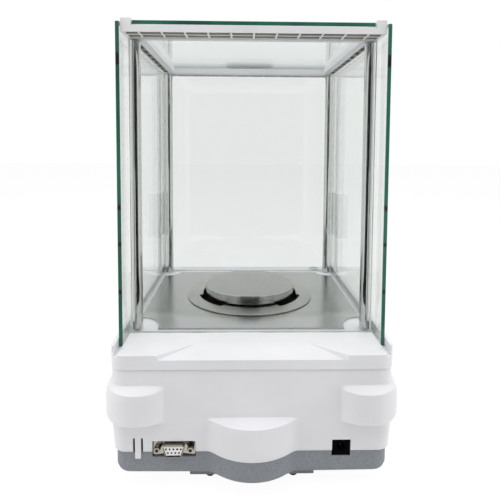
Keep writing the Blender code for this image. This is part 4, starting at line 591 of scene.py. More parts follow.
@dataclass(frozen=True)
class Finishes:
    """Every finish of the balance."""

    white: Finish = Moulding("satin_white_moulding", "white_plastic", (0.80, 0.80, 0.82), 0.42)
    grey: Finish = Moulding("speckled_grey_moulding", "grey_plastic", (0.225, 0.240, 0.262), 0.62,
                            grain=0.0006, grain_height=0.00006, speckle=0.35)
    key: Finish = Moulding("soft_key_moulding", "key_grey", (0.42, 0.45, 0.50), 0.5)
    black: Finish = Moulding("black_moulding", "black_plastic", (0.025, 0.025, 0.028), 0.45, cloud=0.15)
    # Black plastic of the power jack, made darker than the other black to paint shade in the jack's opening
    # and in the contact holes.
    socket: Finish = Moulding("matt_black_socket", "black_plastic", (0.002, 0.002, 0.002), 0.8, cloud=0.15,
                              specular=0.03)
    # White plastic inside the rail cells, given a dark taupe as painted shade that deepens above the cell
    # mouth.
    recess: Finish = Moulding("shaded_recess_moulding", "white_plastic", (0.31, 0.295, 0.265), 0.6,
                              mouth=0.3451)
    # A real dark dish under the draft ring, made near-black so that it also paints the deep shade under the
    # ring and pan.
    well: Finish = Moulding("matt_black_dish", "black_steel", (0.005, 0.005, 0.005), 0.75, grain=0.0003,
                            cloud=0.2, specular=0.12)
    clear: Finish = ClearPlastic("clear_grip_moulding", "clear_plastic", (0.97, 0.98, 0.98), 0.25)
    insulator: Finish = Moulding("white_insulator_moulding", "white_insulator", (0.86, 0.86, 0.84), 0.5)
    black_steel: Finish = Moulding("black_coated_steel", "black_steel", (0.035, 0.035, 0.04), 0.5,
                                   grain=0.0003, cloud=0.2)
    rubber: Finish = Rubber("black_foot_rubber", "black_rubber", (0.02, 0.02, 0.02), 0.8)
    face: Finish = PaneFace("clear_pane_face", "clear_glass", (0.974, 0.981, 0.979), 0.0)
    edge: Finish = PaneEdge("green_pane_edge", "clear_glass", (0.008, 0.078, 0.046), 0.3)
    seated: Finish = PaneEdge("pale_pane_edge", "clear_glass", (0.42, 0.45, 0.44), 0.3, marks=())
    drawn: Finish = BrushedMetal("drawn_post_steel", "polished_steel", (0.62, 0.62, 0.60), 0.09,
                                 lines=(2400.0, 2400.0, 12.0), depth=0.0, spread=0.03)
    polished: Finish = BrushedMetal("polished_rim_steel", "satin_steel", (0.56, 0.57, 0.55), 0.2,
                                    lines=(900.0, 900.0, 4000.0), depth=0.000002, spread=0.06)
    sheet: Finish = BrushedMetal("satin_floor_steel", "satin_steel", (0.455, 0.465, 0.45), 0.22,
                                 depth=0.000002)
    pressed: Finish = BrushedMetal("pressed_ring_steel", "satin_steel", (0.44, 0.44, 0.415), 0.30)
    turned: Finish = BrushedMetal("turned_pan_steel", "satin_steel", (0.40, 0.41, 0.39), 0.25,
                                  centre=(0.0, 0.0205))
    cast: Finish = BrushedMetal("machined_aluminium", "cast_aluminium", (0.60, 0.60, 0.62), 0.4,
                                lines=(300.0, 1800.0, 1800.0), spread=0.2)
    nickel: Finish = BrushedMetal("bright_nickel_plate", "bright_nickel", (0.46, 0.43, 0.38), 0.2,
                                  lines=(700.0, 700.0, 700.0), spread=0.1)
    # A shaded copy of the nickel: the pin deep in the power jack is painted near-black as shade in its bore.
    dark_pin: Finish = BrushedMetal("darkened_pin", "bright_nickel", (0.06, 0.055, 0.05), 0.4,
                                    lines=(700.0, 700.0, 700.0), spread=0.1)
    copper: Finish = Winding("lacquered_copper_turns", "copper_wire", (0.70, 0.32, 0.16), 0.35)
    lens: Finish = Lens("smoked_display_window", "dark_lens", (0.03, 0.04, 0.04), 0.05)
    display: Finish = DisplayGlass("unlit_display", "display_grey", (0.32, 0.36, 0.30), 0.3)
    board: Finish = BoardCoat("coated_circuit_board", "board_green", (0.02, 0.16, 0.07), 0.45)
    vial: Finish = VialFill("level_vial_fill", "vial_liquid", (0.45, 0.70, 0.16), 0.08,
                            centre=(-0.084, -0.08402))


# Surfaces


def into_scene(name: str, mesh: bpy.types.Mesh) -> bpy.types.Object:
    """Link a mesh as an object at the origin.

    Args:
        name: The object's name.
        mesh: Its mesh.

    Returns:
        The object.
    """
    piece = bpy.data.objects.new(name, mesh)
    bpy.context.scene.collection.objects.link(piece)
    return piece


def settle(mesh: bpy.types.Mesh, sharp: float, merge: float = 1e-7) -> None:
    """Merge poles and seams, turn the faces outwards and mark the sharp edges.

    Args:
        mesh: The mesh to settle.
        sharp: Angle in degrees from which an edge stays sharp.
        merge: Points closer than this become one.
    """
    work = bmesh.new()
    work.from_mesh(mesh)
    bmesh.ops.remove_doubles(work, verts=work.verts, dist=merge)
    bmesh.ops.recalc_face_normals(work, faces=work.faces)
    work.to_mesh(mesh)
    work.free()
    mesh.shade_smooth()
    mesh.set_sharp_from_angle(angle=radians(sharp))


def surface(
    name: str,
    points: np.ndarray,
    wrap_rows: bool = False,
    caps: bool = False,
    sharp: float = 35.0,
) -> bpy.types.Object:
    """A grid of points as one closed skin: quads join each row to the next.

    Args:
        name: The piece's name.
        points: Rows by columns by three. The columns close on themselves.
        wrap_rows: Whether the last row joins the first.
        caps: Whether one flat face closes the first row and one the last.
        sharp: Angle in degrees from which an edge stays sharp.

    Returns:
        The piece.
    """
    rows, columns = points.shape[:2]
    row = np.arange(rows if wrap_rows else rows - 1)[:, None]
    column = np.arange(columns)[None, :]
    below = row * columns
    above = (row + 1) % rows * columns
    after = (column + 1) % columns
    quads = np.stack([below + column, below + after, above + after, above + column], axis=-1).reshape(-1, 4)
    faces = quads.tolist()
    if caps:
        faces.append(list(range(columns))[::-1])
        faces.append(list(range((rows - 1) * columns, rows * columns)))
    mesh = bpy.data.meshes.new(name)
    mesh.from_pydata(points.reshape(-1, 3), [], faces)
    settle(mesh, sharp)
    return into_scene(name, mesh)


def eased(corners: Sequence[tuple[float, float]], radii: Sequence[float], steps: int = 5) -> np.ndarray:
    """A line through corners, each rounded by a parabola that starts a radius away.

    Args:
        corners: The corner points, in order.
        radii: One radius for each corner, 0 for a sharp one.
        steps: Points on each rounding.

    Returns:
        The points of the eased line, two numbers each.
    """
    path = np.array(corners, float)
    t = np.linspace(0.0, 1.0, steps)[:, None]
    made = []
    for i, radius in enumerate(radii):
        if radius <= 0.0 or i in (0, len(path) - 1):
            made.append(path[i:i + 1])
            continue
        back = path[i - 1] - path[i]
        ahead = path[i + 1] - path[i]
        start = path[i] + back * min(0.49, radius / np.linalg.norm(back))
        end = path[i] + ahead * min(0.49, radius / np.linalg.norm(ahead))
        made.append((1 - t) ** 2 * start + 2 * t * (1 - t) * path[i] + t ** 2 * end)
    return np.concatenate(made)


def turned(
    name: str,
    profile: np.ndarray,
    centre: Point,
    steps: int = 96,
    axis: Axis = Axis.UP,
    ring: bool = False,
    sharp: float = 35.0,
) -> bpy.types.Object:
    """A profile of radius and height carried round an axis.

    Args:
        name: The piece's name.
        profile: Points of radius and height above the centre.
        centre: Where the axis starts.
        steps: Columns round the axis.
        axis: Direction of the axis.
        ring: Whether the profile closes on itself clear of the axis.
        sharp: Angle in degrees from which an edge stays sharp.

    Returns:
        The piece.
    """
    turn = np.linspace(0.0, 2 * pi, steps, endpoint=False)[None, :]
    radius = profile[:, 0][:, None]
    height = profile[:, 1][:, None] + 0.0 * turn
    flat = (radius * np.cos(turn), radius * np.sin(turn))
    first, second = {Axis.UP: (0, 1), Axis.ALONG: (2, 0), Axis.ACROSS: (1, 2)}[axis]
    points = np.zeros(height.shape + (3,))
    points[..., first] = flat[0]
    points[..., second] = flat[1]
    points[..., axis.value] = height
    return surface(name, points + np.array(centre), wrap_rows=ring, sharp=sharp)


def rounded_outline(half_x: float, half_y: float, radius: float, steps: int = 8) -> np.ndarray:
    """A rectangle with round corners, anticlockwise from the +X side.

    Args:
        half_x: Half its width.
        half_y: Half its depth.
        radius: Radius of the corners.
        steps: Points on each corner, less one.

    Returns:
        The outline's points, two numbers each.
    """
    turn = np.linspace(0.0, pi / 2, steps + 1)[None, :] + np.arange(4)[:, None] * pi / 2
    signs = np.array([(1, 1), (-1, 1), (-1, -1), (1, -1)], float)
    middles = signs * np.array([half_x - radius, half_y - radius])
    x = middles[:, 0][:, None] + radius * np.cos(turn)
    y = middles[:, 1][:, None] + radius * np.sin(turn)
    return np.stack([x, y], axis=-1).reshape(-1, 2)


def stacked(outlines: Sequence[np.ndarray], levels: Sequence[float]) -> np.ndarray:
    """Outlines of equal count laid at their levels.

    Args:
        outlines: Each outline's points, two numbers each.
        levels: Height of each.

    Returns:
        Rows by columns by three.
    """
    return np.stack([np.column_stack([outline, np.full(len(outline), level)])
                     for outline, level in zip(outlines, levels)])


def moved(points: np.ndarray, matrix: Matrix) -> np.ndarray:
    """Points carried by a matrix.

    Args:
        points: Any array whose last axis is three.
        matrix: A four by four matrix.

    Returns:
        The carried points.
    """
    turn = np.array(matrix.to_3x3())
    return points @ turn.T + np.array(matrix.translation)


def joined(name: str, pieces: Sequence[bpy.types.Object]) -> bpy.types.Object:
    """Several closed skins as one piece.

    Args:
        name: The new piece's name.
        pieces: The skins, which are used up.

    Returns:
        The piece.
    """
    work = bmesh.new()
    for piece in pieces:
        work.from_mesh(piece.data)
    mesh = bpy.data.meshes.new(name)
    work.to_mesh(mesh)
    work.free()
    for piece in pieces:
        bpy.data.objects.remove(piece)
    return into_scene(name, mesh)


def read_all(items: bpy.types.bpy_prop_collection, *names: str) -> list[np.ndarray]:
    """Values of three numbers of all points or faces of a mesh.

    Args:
        items: The points or the faces.
        *names: The values' names.

    Returns:
        For each name an array with a row for each item.
    """
    found = []
    for name in names:
        values = np.zeros(len(items) * 3)
        items.foreach_get(name, values)
        found.append(values.reshape(-1, 3))
    return found


def box_tool(low: Point, high: Point) -> bpy.types.Object:
    """A box that only cuts or joins, and is removed afterwards.

    Args:
        low: Its lowest corner.
        high: Its highest corner.

    Returns:
        The tool.
    """
    low_x, low_y, low_z = low
    high_x, high_y, high_z = high
    outline = np.array([(low_x, low_y), (high_x, low_y), (high_x, high_y), (low_x, high_y)])
    return surface("tool", stacked([outline, outline], (low_z, high_z)), caps=True)


def shaped(piece: bpy.types.Object, tools: Sequence[bpy.types.Object], operation: str) -> bpy.types.Object:
    """Cut tools out of a piece, or join them to it, for good.

    Args:
        piece: The piece.
        tools: The tools, which are used up.
        operation: DIFFERENCE or UNION.

    Returns:
        The piece.
    """
    for tool in tools:
        step = piece.modifiers.new("shaping", "BOOLEAN")
        step.operation = operation
        step.solver = "EXACT"
        step.object = tool
        bpy.context.view_layer.update()
        seen = piece.evaluated_get(bpy.context.evaluated_depsgraph_get())
        mesh = bpy.data.meshes.new_from_object(seen)
        piece.modifiers.clear()
        piece.data = mesh
        bpy.data.objects.remove(tool)
    piece.data.set_sharp_from_angle(angle=radians(35.0))
    return piece


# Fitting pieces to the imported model


@dataclass
class Bench:
    """What every assembly works from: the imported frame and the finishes."""

    frame: dict[str, Any]
    finishes: Finishes = field(default_factory=Finishes)

    def body(self, node: str) -> str:
        """The body that a CAD node rides on."""
        groups = self.frame["record"]["behaviour"]["bodies"]
        return next(name for name, members in groups.items() if node in members)

    def place(self, node: str) -> tuple[np.ndarray, np.ndarray]:
        """Lowest and highest corner of a CAD node, as arrays."""
        low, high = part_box(node)
        return np.array(low), np.array(high)

    def round_place(self, node: str, axis: Axis = Axis.UP) -> tuple[Point, float, float]:
        """Where a round CAD node stands.

        Args:
            node: The CAD node.
            axis: Direction of its axis.

        Returns:
            The low end of its axis, its radius and its length.
        """
        low, high = self.place(node)
        end = (low + high) / 2
        end[axis.value] = low[axis.value]
        return tuple(end), (high[0] - low[0]) / 2, (high - low)[axis.value]

    def fit(self, piece: bpy.types.Object, node: str, finish: Finish) -> bpy.types.Object:
        """Put a new piece in the place of a CAD node.

        Args:
            piece: The piece, drawn at its place.
            node: The CAD node that it stands for.
            finish: Its finish.

        Returns:
            The piece.
        """
        piece.data.materials.clear()
        piece.data.materials.append(finish.material())
        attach(piece, self.body(node))
        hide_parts(node)
        LOG.info("%s stands for %s", piece.name, node)
        return piece

    def lathe(self, node: str, name: str, profile: np.ndarray, finish: Finish, steps: int = 64,
              **shape: Any) -> bpy.types.Object:
        """Turn a profile where a round CAD node stands, and fit it there.

        Args:
            node: The CAD node.
            name: The piece's name.
            profile: Points of radius and height.
            finish: Its finish.
            steps: Columns round the axis.
            **shape: What else `turned` takes.

        Returns:
            The piece.
        """
        end = self.round_place(node, shape.get("axis", Axis.UP))[0]
        return self.fit(turned(name, profile, end, steps, **shape), node, finish)

    def finish(self, node: str, finish: Finish) -> None:
        """Keep a CAD node's shape and give it a finish.

        Args:
            node: The CAD node.
            finish: Its finish.
        """
        for slot in self.frame["nodes"][node].material_slots:
            slot.material = finish.material()
        LOG.info("%s keeps its shape", node)

    def part_finish(self, piece: bpy.types.Object, finish: Finish, faces: np.ndarray) -> None:
        """Give some faces of a piece a finish of their own.

        Args:
            piece: The piece.
            finish: The finish.
            faces: True for each such face.
        """
        mesh = piece.data
        numbers = np.zeros(len(mesh.polygons), dtype=np.int32)
        mesh.polygons.foreach_get("material_index", numbers)
        mesh.materials.append(finish.material())
        numbers[faces] = len(mesh.materials) - 1
        mesh.polygons.foreach_set("material_index", numbers)

    def softened(self, node: str, finish: Finish, edge: float, segments: int = 2) -> bpy.types.Object:
        """A merged copy of a CAD node with its edges eased.

        Args:
            node: The CAD node.
            finish: Its finish.
            edge: Width of the easing.
            segments: Facets across it.

        Returns:
            The piece.
        """
        mesh = self.frame["nodes"][node].data.copy()
        work = bmesh.new()
        work.from_mesh(mesh)
        bmesh.ops.remove_doubles(work, verts=work.verts, dist=2e-6)
        bmesh.ops.dissolve_limit(work, angle_limit=radians(0.4), verts=work.verts, edges=work.edges)
        work.to_mesh(mesh)
        work.free()
        mesh.shade_smooth()
        mesh.set_sharp_from_angle(angle=radians(30.0))
        piece = into_scene(node + "_eased", mesh)
        step = piece.modifiers.new("easing", "BEVEL")
        step.width = edge
        step.segments = segments
        step.limit_method = "ANGLE"
        step.angle_limit = radians(35.0)
        step.harden_normals = True
        return self.fit(piece, node, finish)


# Casing


@dataclass
class CasingShell:
    """The waved outline of the moulded casing."""

    half_width: float = 0.1067
    rear: float = 0.157
    front: float = -0.168
    rear_corner: float = 0.012
    front_corner: float = 0.020
    deck_front: float = -0.0925
    slope: float = 0.045 / 0.078
    bottom: float = 0.0303
    top: float = 0.0945
    wall: float = 0.003
    corner_radius: float = 0.0265
    corner_proud: tuple[float, float] = (0.006, 0.009)
    centre_half: float = 0.032
    centre_proud: float = 0.0135
    blend: float = 0.004

    def outline(self, inset: float) -> np.ndarray:
        """Points and outward normals: straight sides, a straight rear and front, round corners.

        Args:
            inset: How far the outline is drawn in.

        Returns:
            An array of X, Y and the normal's X and Y.
        """
        half = self.half_width - inset
        rear = self.rear - inset
        front = self.front + inset
        radius = self.rear_corner - inset
        nose = self.front_corner - inset
        swell = self.rear - self.rear_corner - self.corner_radius
        side = np.concatenate([
            np.linspace(self.front + self.front_corner, self.deck_front, 8),
            np.linspace(self.deck_front, swell, 16)[1:],
            np.linspace(swell, self.rear - self.rear_corner, 34)[1:-1],
        ])
        turn = np.linspace(0.0, pi / 2, 25)
        wall = np.linspace(half - radius, radius - half, 261)
        one, none = np.ones_like(side), np.zeros_like(side)
        c, s = np.cos(turn), np.sin(turn)
        runs = [
            (one * half, side, one, none),
            (half - radius + radius * c[:-1], rear - radius + radius * s[:-1], c[:-1], s[:-1]),
            (wall, np.full_like(wall, rear), np.zeros_like(wall), np.ones_like(wall)),
            (radius - half - radius * s[1:], rear - radius + radius * c[1:], -s[1:], c[1:]),
            (-one * half, side[::-1], -one, none),
            (nose - half - nose * c[1:], front + nose - nose * s[1:], -c[1:], -s[1:]),
            (half - nose + nose * s[:-1], front + nose - nose * c[:-1], s[:-1], -c[:-1]),
        ]
        return np.concatenate([np.stack(run, axis=-1) for run in runs])

    def reach(self, points: np.ndarray, centre_x: np.ndarray, centre_y: float, radius: float) -> np.ndarray:
        """How far each point goes along its normal to leave a circle.

        Args:
            points: The outline.
            centre_x: Centre of the circle for each point.
            centre_y: Its other coordinate.
            radius: Radius of the circle.

        Returns:
            The distances, minus the blend where the normal misses the circle.
        """
        dx = centre_x - points[:, 0]
        dy = centre_y - points[:, 1]
        along = dx * points[:, 2] + dy * points[:, 3]
        left = radius ** 2 - (dx - along * points[:, 2]) ** 2 - (dy - along * points[:, 3]) ** 2
        return np.where(left > 0, along + np.sqrt(np.maximum(left, 0.0)), -self.blend)

    @staticmethod
    def above_zero(value: np.ndarray, blend: float) -> np.ndarray:
        """The larger of zero and a value, with a smooth join over `blend`."""
        share = np.clip(0.5 + 0.5 * value / blend, 0.0, 1.0)
        return value * share + blend * share * (1.0 - share)

    def ring(self, inset: float, rear_weight: float, side_weight: float, centre_weight: float,
             level: float) -> np.ndarray:
        """The outline pushed out to its swellings, at a level squeezed under the sloped front.

        Args:
            inset: How far the outline is drawn in.
            rear_weight: Share of the corner swellings where they face the rear.
            side_weight: Their share at the side.
            centre_weight: Share of the middle swelling.
            level: Height at the deck's part of the casing.

        Returns:
            The ring's points, three numbers each.
        """
        points = self.outline(inset)
        side = np.where(points[:, 0] > 0, 1.0, -1.0)
        corner_x = self.half_width + self.corner_proud[0] - self.corner_radius
        corner_y = self.rear + self.corner_proud[1] - self.corner_radius
        arc = (self.centre_half ** 2 + self.centre_proud ** 2) / (2 * self.centre_proud)
        corner = self.reach(points, side * corner_x, corner_y, self.corner_radius - inset)
        ahead = self.rear - self.rear_corner - self.corner_radius
        corner = np.where((points[:, 3] <= 0.0) & (points[:, 1] < ahead), -self.blend, corner)
        centre = self.reach(points, 0.0 * side, self.rear + self.centre_proud - arc, arc - inset)
        centre = np.where(points[:, 3] < 1.0, -self.blend, centre)
        rearward = points[:, 3] ** 2
        weight = rear_weight * rearward + side_weight * (1.0 - rearward)
        push = weight * self.above_zero(corner, self.blend / 2)
        push += centre_weight * self.above_zero(centre, self.blend)
        x = points[:, 0] + push * points[:, 2]
        y = points[:, 1] + push * points[:, 3]
        share = (level - self.bottom) / (self.top - self.bottom)
        rim = self.top - np.maximum(0.0, self.deck_front - y) * self.slope
        return np.stack([x, y, self.bottom + share * (rim - self.bottom)], axis=-1)


@dataclass
class Casing:
    """The waved housing, the grey tray under it, the deck, the sloped cover and the rear feet."""

    bench: Bench
    shell: CasingShell = field(default_factory=CasingShell)
    knots: Sequence[float] = (30.3, 52.5, 55.3, 56.2, 57.5, 71.2, 75.2, 79.2, 82.0, 86.0, 90.0, 94.5)
    rear_knots: Sequence[float] = (0, 0, 1, 1, 1, 1, 1, 1, 0, 0, 0, 0)
    side_knots: Sequence[float] = (0, 0.12, 0.85, 1, 1, 1, 0.9, 0.65, 0.4, 0.12, 0, 0)
    centre_knots: Sequence[float] = (1, 1, 1, 1, 0, 0, 0, 0, 0, 0, 0, 0)
    level_runs: Sequence[tuple[float, float, int]] = (
        (30.3, 30.8, 5), (30.8, 51.5, 12), (51.5, 55.5, 21), (55.5, 58.1, 27), (58.1, 71.0, 6),
        (71.0, 78.2, 8), (78.2, 83.0, 25), (83.0, 91.0, 9), (91.0, 94.0, 3), (94.0, 94.5, 5))
    foot_inset: float = 0.0012
    rim_round: float = 0.0009
    port: tuple[float, float] = (0.0590, 0.0326)
    port_half: tuple[float, float] = (0.0162, 0.0066)
    power_x: float = -0.0672
    power_half: tuple[float, float] = (0.0071, 0.0068)
    tongue: tuple[float, float] = (0.0858, 0.0022)
    slit: float = 0.0016
    tongue_up: float = 0.0113
    tongue_down: float = 0.005
    overrun: float = 0.002
    foot_round: float = 0.0018
    foot_pin: tuple[float, float] = (0.0018, 0.004)
    tray_bottom: float = 0.0125
    tray_rounds: tuple[float, float] = (0.0022, 0.0042)
    tray_core: tuple[float, float] = (0.098, 0.148)
    near: float = 0.00005

    def weights(self, levels: np.ndarray, knots: Sequence[float], ease: float) -> np.ndarray:
        """A share along the height, its corners softened by averaging over `ease`.

        Args:
            levels: Heights to work it out at.
            knots: Its values at the knots.
            ease: Half the height that is averaged.

        Returns:
            One share for each level.
        """
        offsets = np.linspace(-ease, ease, 9)[:, None]
        return np.interp(levels[None, :] + offsets, np.array(self.knots) * MM, knots).mean(axis=0)

    def build_housing(self) -> bpy.types.Object:
        """The housing's outer wall and inner wall as one closed stack of rings.

        Returns:
            The housing.
        """
        shell = self.shell
        levels = np.unique(np.round(np.concatenate([np.linspace(*run) for run in self.level_runs]), 4)) * MM
        rear = self.weights(levels, self.rear_knots, 0.0005)
        side = self.weights(levels, self.side_knots, 0.0012)
        centre = self.weights(levels, self.centre_knots, 0.00022)
        inset = np.interp(levels, (shell.bottom, self.knots[1] * MM), (self.foot_inset, 0.0))
        ends = np.minimum(levels - levels[0], levels[-1] - levels)
        curl = 1.0 - np.clip(ends / self.rim_round, 0.0, 1.0)
        inset = inset + self.rim_round * (1.0 - np.sqrt(1.0 - curl ** 2))
        outer = [shell.ring(*row) for row in zip(inset, rear, side, centre, levels)]
        wall = shell.wall
        inner = [
            (wall, 0, 0, 0, 94.5), (wall, 0, 0.12, 0, 83.2), (wall, 0, 0.4, 0, 77.8),
            (wall, 1, 0.65, 0, 76.2), (wall, 1, 1, 0, 71.2), (wall, 1, 1, 0, 54.9),
            (wall, 0, 0.12, 1, 53.2), (wall + self.foot_inset, 0, 0, 1, 30.3),
        ]
        rows = outer + [shell.ring(*row[:4], row[4] * MM) for row in inner]
        housing = surface("waved_housing", np.stack(rows), wrap_rows=True, sharp=50.0)
        ahead, behind, over = shell.rear - wall, shell.rear, self.overrun
        z = self.port[1]
        tools = [box_tool((x - half_x, ahead - over, z - half_z), (x + half_x, behind + over, z + half_z))
                 for x, (half_x, half_z) in ((self.port[0], self.port_half), (self.power_x, self.power_half))]
        middle, half = self.tongue
        for hand in (-1, 1):
            slit = middle + hand * (half + self.slit / 2)
            tools.append(box_tool((slit - self.slit / 2, ahead - over, shell.bottom - over),
                                  (slit + self.slit / 2, behind + over, shell.bottom + self.tongue_up)))
        shaped(housing, tools, "DIFFERENCE")
        root = box_tool((middle - half, ahead, shell.bottom - self.tongue_down),
                        (middle + half, behind - self.foot_inset, shell.bottom + self.tongue_up))
        shaped(housing, [root], "UNION")
        return self.bench.fit(housing, "upper_housing", self.bench.finishes.white)

    def round_below(self, tray: bpy.types.Object) -> None:
        """Widen the rounding of the tray's lower rim.

        A point of the rim's quarter circle lies inward of the wall by r(1 - cos a) and above the bottom by
        r(1 - sin a). It moves inward and up until both hold with the wider radius.

        Args:
            tray: The tray, whose mesh is changed.
        """
        mesh = tray.data
        points, normals = read_all(mesh.vertices, "co", "normal")
        narrow, wide = self.tray_rounds
        up = points[:, 2] - self.tray_bottom
        level = np.hypot(normals[:, 0], normals[:, 1])
        rim = (up > -self.near) & (up < narrow + self.near) & (level > 0.2) & (normals[:, 2] < 0.05)
        rim &= (np.abs(points[:, :2]) > self.tray_core).any(axis=1)
        sine = np.clip(1.0 - up / narrow, 0.0, 1.0)
        inward = (wide - narrow) * (1.0 - np.sqrt(1.0 - sine ** 2))
        points[rim, 2] += ((wide - narrow) * (1.0 - sine))[rim]
        points[rim, :2] -= (inward / np.maximum(level, 0.2))[rim, None] * normals[rim, :2]
        mesh.vertices.foreach_set("co", points.ravel())
        mesh.update()

    def build_feet(self) -> None:
        """Rubber feet: a rounded button with its pin, turned from one profile."""
        for side in Side:
            node = f"rear_foot_{side.word}"
            radius, height = self.bench.round_place(node)[1:]
            pin, shoulder = self.foot_pin[0], height - self.foot_pin[1]
            corners = [(0, 0), (radius - 0.0006, 0), (radius, 0.0012), (radius, shoulder - 0.0006),
                       (radius - 0.0005, shoulder), (pin, shoulder), (pin, height), (0, height)]
            profile = eased(corners, (0, self.foot_round, 0.0008, 0.0005, 0.0004, 0, 0.0004, 0))
            self.bench.lathe(node, node + "_button", profile, self.bench.finishes.rubber, 48)

    def build(self) -> None:
        """Make every piece of the casing."""
        finishes = self.bench.finishes
        self.build_housing()
        self.round_below(self.bench.softened("base_tray", finishes.grey, 0.0005))
        self.bench.softened("deck_cover", finishes.white, 0.0006, 3)
        self.bench.softened("control_panel", finishes.white, 0.0006, 3)
        self.build_feet()


@dataclass
class Levelling:
    """The two front feet that turn, and the bubble level."""

    bench: Bench
    lobes: int = 36
    lobe_depth: float = 0.0006
    wheel_height: float = 0.005
    wheel_lift: float = 0.002
    wheel_round: float = 0.0006
    stud_radius: float = 0.003
    stud_chamfer: float = 0.0005
    thread_pitch: float = 0.001
    thread_depth: float = 0.0004
    pad_clearance: float = 0.0003
    pad_bore_depth: float = 0.002
    pad_slope: float = 0.001
    vial_dome: float = 0.0004
    ring_width: float = 0.0011
    ring_round: float = 0.0004

    def wheel(self, centre: Point, radius: float) -> bpy.types.Object:
        """A knurled wheel: its radius is a cosine of the angle, and its rims are eased.

        Args:
            centre: Middle of its lower face.
            radius: Radius over the knurls.

        Returns:
            The wheel.
        """
        turn = np.linspace(0.0, 2 * pi, self.lobes * 8, endpoint=False)[None, :]
        profile = eased([(0, 0), (1, 0), (1, self.wheel_height), (0, self.wheel_height)],
                        (0, self.wheel_round, self.wheel_round, 0), 6)
        share = profile[:, 0][:, None]
        lobe = self.lobe_depth * (0.5 - 0.5 * np.cos(self.lobes * turn)) * (share > 0.5)
        distance = share * radius - lobe - self.wheel_round * (share > 0.5) * (1 - share)
        height = profile[:, 1][:, None] + 0.0 * turn
        points = np.stack([distance * np.cos(turn), distance * np.sin(turn), height], axis=-1)
        return surface("wheel", points + np.array(centre), sharp=40.0)

    def stud(self, centre: Point, length: float) -> bpy.types.Object:
        """A threaded stud: the radius falls and rises along one helix.

        Args:
            centre: Middle of its lower end.
            length: Its length.

        Returns:
            The stud.
        """
        turn = np.linspace(0.0, 2 * pi, 32, endpoint=False)[None, :]
        height = np.linspace(0.0, length, int(length / self.thread_pitch * 6) + 1)[:, None]
        phase = (height / self.thread_pitch - turn / (2 * pi)) % 1.0
        radius = self.stud_radius - self.thread_depth * np.abs(2 * phase - 1)
        end = self.stud_radius - self.stud_chamfer + np.minimum(height, length - height)
        radius = np.minimum(radius, end)
        points = np.stack([radius * np.cos(turn), radius * np.sin(turn), height + 0.0 * turn], axis=-1)
        return surface("stud", points + np.array(centre), caps=True, sharp=60.0)

    def build(self) -> None:
        """Make the feet, the level and its ring."""
        bench, finishes = self.bench, self.bench.finishes
        for side in Side:
            node = "levelling_knob_" + side.word
            end, radius, length = bench.round_place(node)
            wheel = self.wheel((end[0], end[1], end[2] + self.wheel_lift), radius)
            bench.fit(joined(node + "_knurled", [wheel, self.stud(end, length)]), node, finishes.black)
            node = "levelling_pad_" + side.word
            radius, height = bench.round_place(node)[1:]
            bore, floor = self.stud_radius + self.pad_clearance, height - self.pad_bore_depth
            slope = self.pad_slope
            corners = [(0, 0), (radius - slope, 0), (radius, slope), (radius, height),
                       (bore, height), (bore, floor), (0, floor)]
            profile = eased(corners, (0, 0.0006, 0.0008, 0.001, 0.0003, 0, 0))
            bench.lathe(node, node + "_cup", profile, finishes.rubber)
        radius, height = bench.round_place("level_vial")[1:]
        dome = np.linspace(0.0, 1.0, 12)
        top = np.column_stack([radius * (1 - dome), height - self.vial_dome * (1 - dome) ** 2])
        profile = np.concatenate([[(0, 0), (radius, 0)], top])
        bench.lathe("level_vial", "level_vial_dome", profile, finishes.vial, sharp=50.0)
        outer, height = bench.round_place("level_ring")[1:]
        inner, ease = outer - self.ring_width, self.ring_round
        corners = [(inner, 0), (outer, 0), (outer, height), (inner, height), (inner, 0)]
        profile = eased(corners, (0, 0, ease, ease, 0))[:-1]
        bench.lathe("level_ring", "level_ring_bezel", profile, finishes.white, ring=True)


# Weighing chamber


def pane(bench: Bench, node: str, thin: Axis, seated: Sequence[tuple[Axis, int]],
         arris: float = 0.0004, corner: float = 0.0008) -> bpy.types.Object:
    """A pane with ground and eased edges: clear faces, green free edges and pale seated ones.

    Args:
        bench: Where it is fitted.
        node: The CAD node that it stands for.
        thin: The direction of its thickness.
        seated: The directions, each an axis and a sign, whose edges sit in a groove or against a piece.
        arris: Width of the small slope at its edges.
        corner: Radius of its corners.

    Returns:
        The piece.
    """
    low, high = bench.place(node)
    first, second = [axis.value for axis in Axis if axis is not thin]
    half = (high - low) / 2
    middle = (high + low) / 2
    outlines = [rounded_outline(half[first] - inset, half[second] - inset, corner - inset / 2, 4)
                for inset in (arris, 0.0, 0.0, arris)]
    depth = half[thin.value]
    levels = (-depth, arris - depth, depth - arris, depth)
    flat = stacked(outlines, levels)
    points = np.zeros_like(flat)
    points[..., first] = flat[..., 0]
    points[..., second] = flat[..., 1]
    points[..., thin.value] = flat[..., 2]
    made = surface(node + "_pane", points + middle, caps=True, sharp=20.0)
    bench.fit(made, node, bench.finishes.face)
    normals, = read_all(made.data.polygons, "normal")
    edges = np.abs(normals[:, thin.value]) < 0.99
    bench.part_finish(made, bench.finishes.edge, edges)
    held = np.zeros(len(edges), dtype=bool)
    for axis, sign in seated:
        held |= sign * normals[:, axis.value] > 0.4
    bench.part_finish(made, bench.finishes.seated, edges & held)
    return made


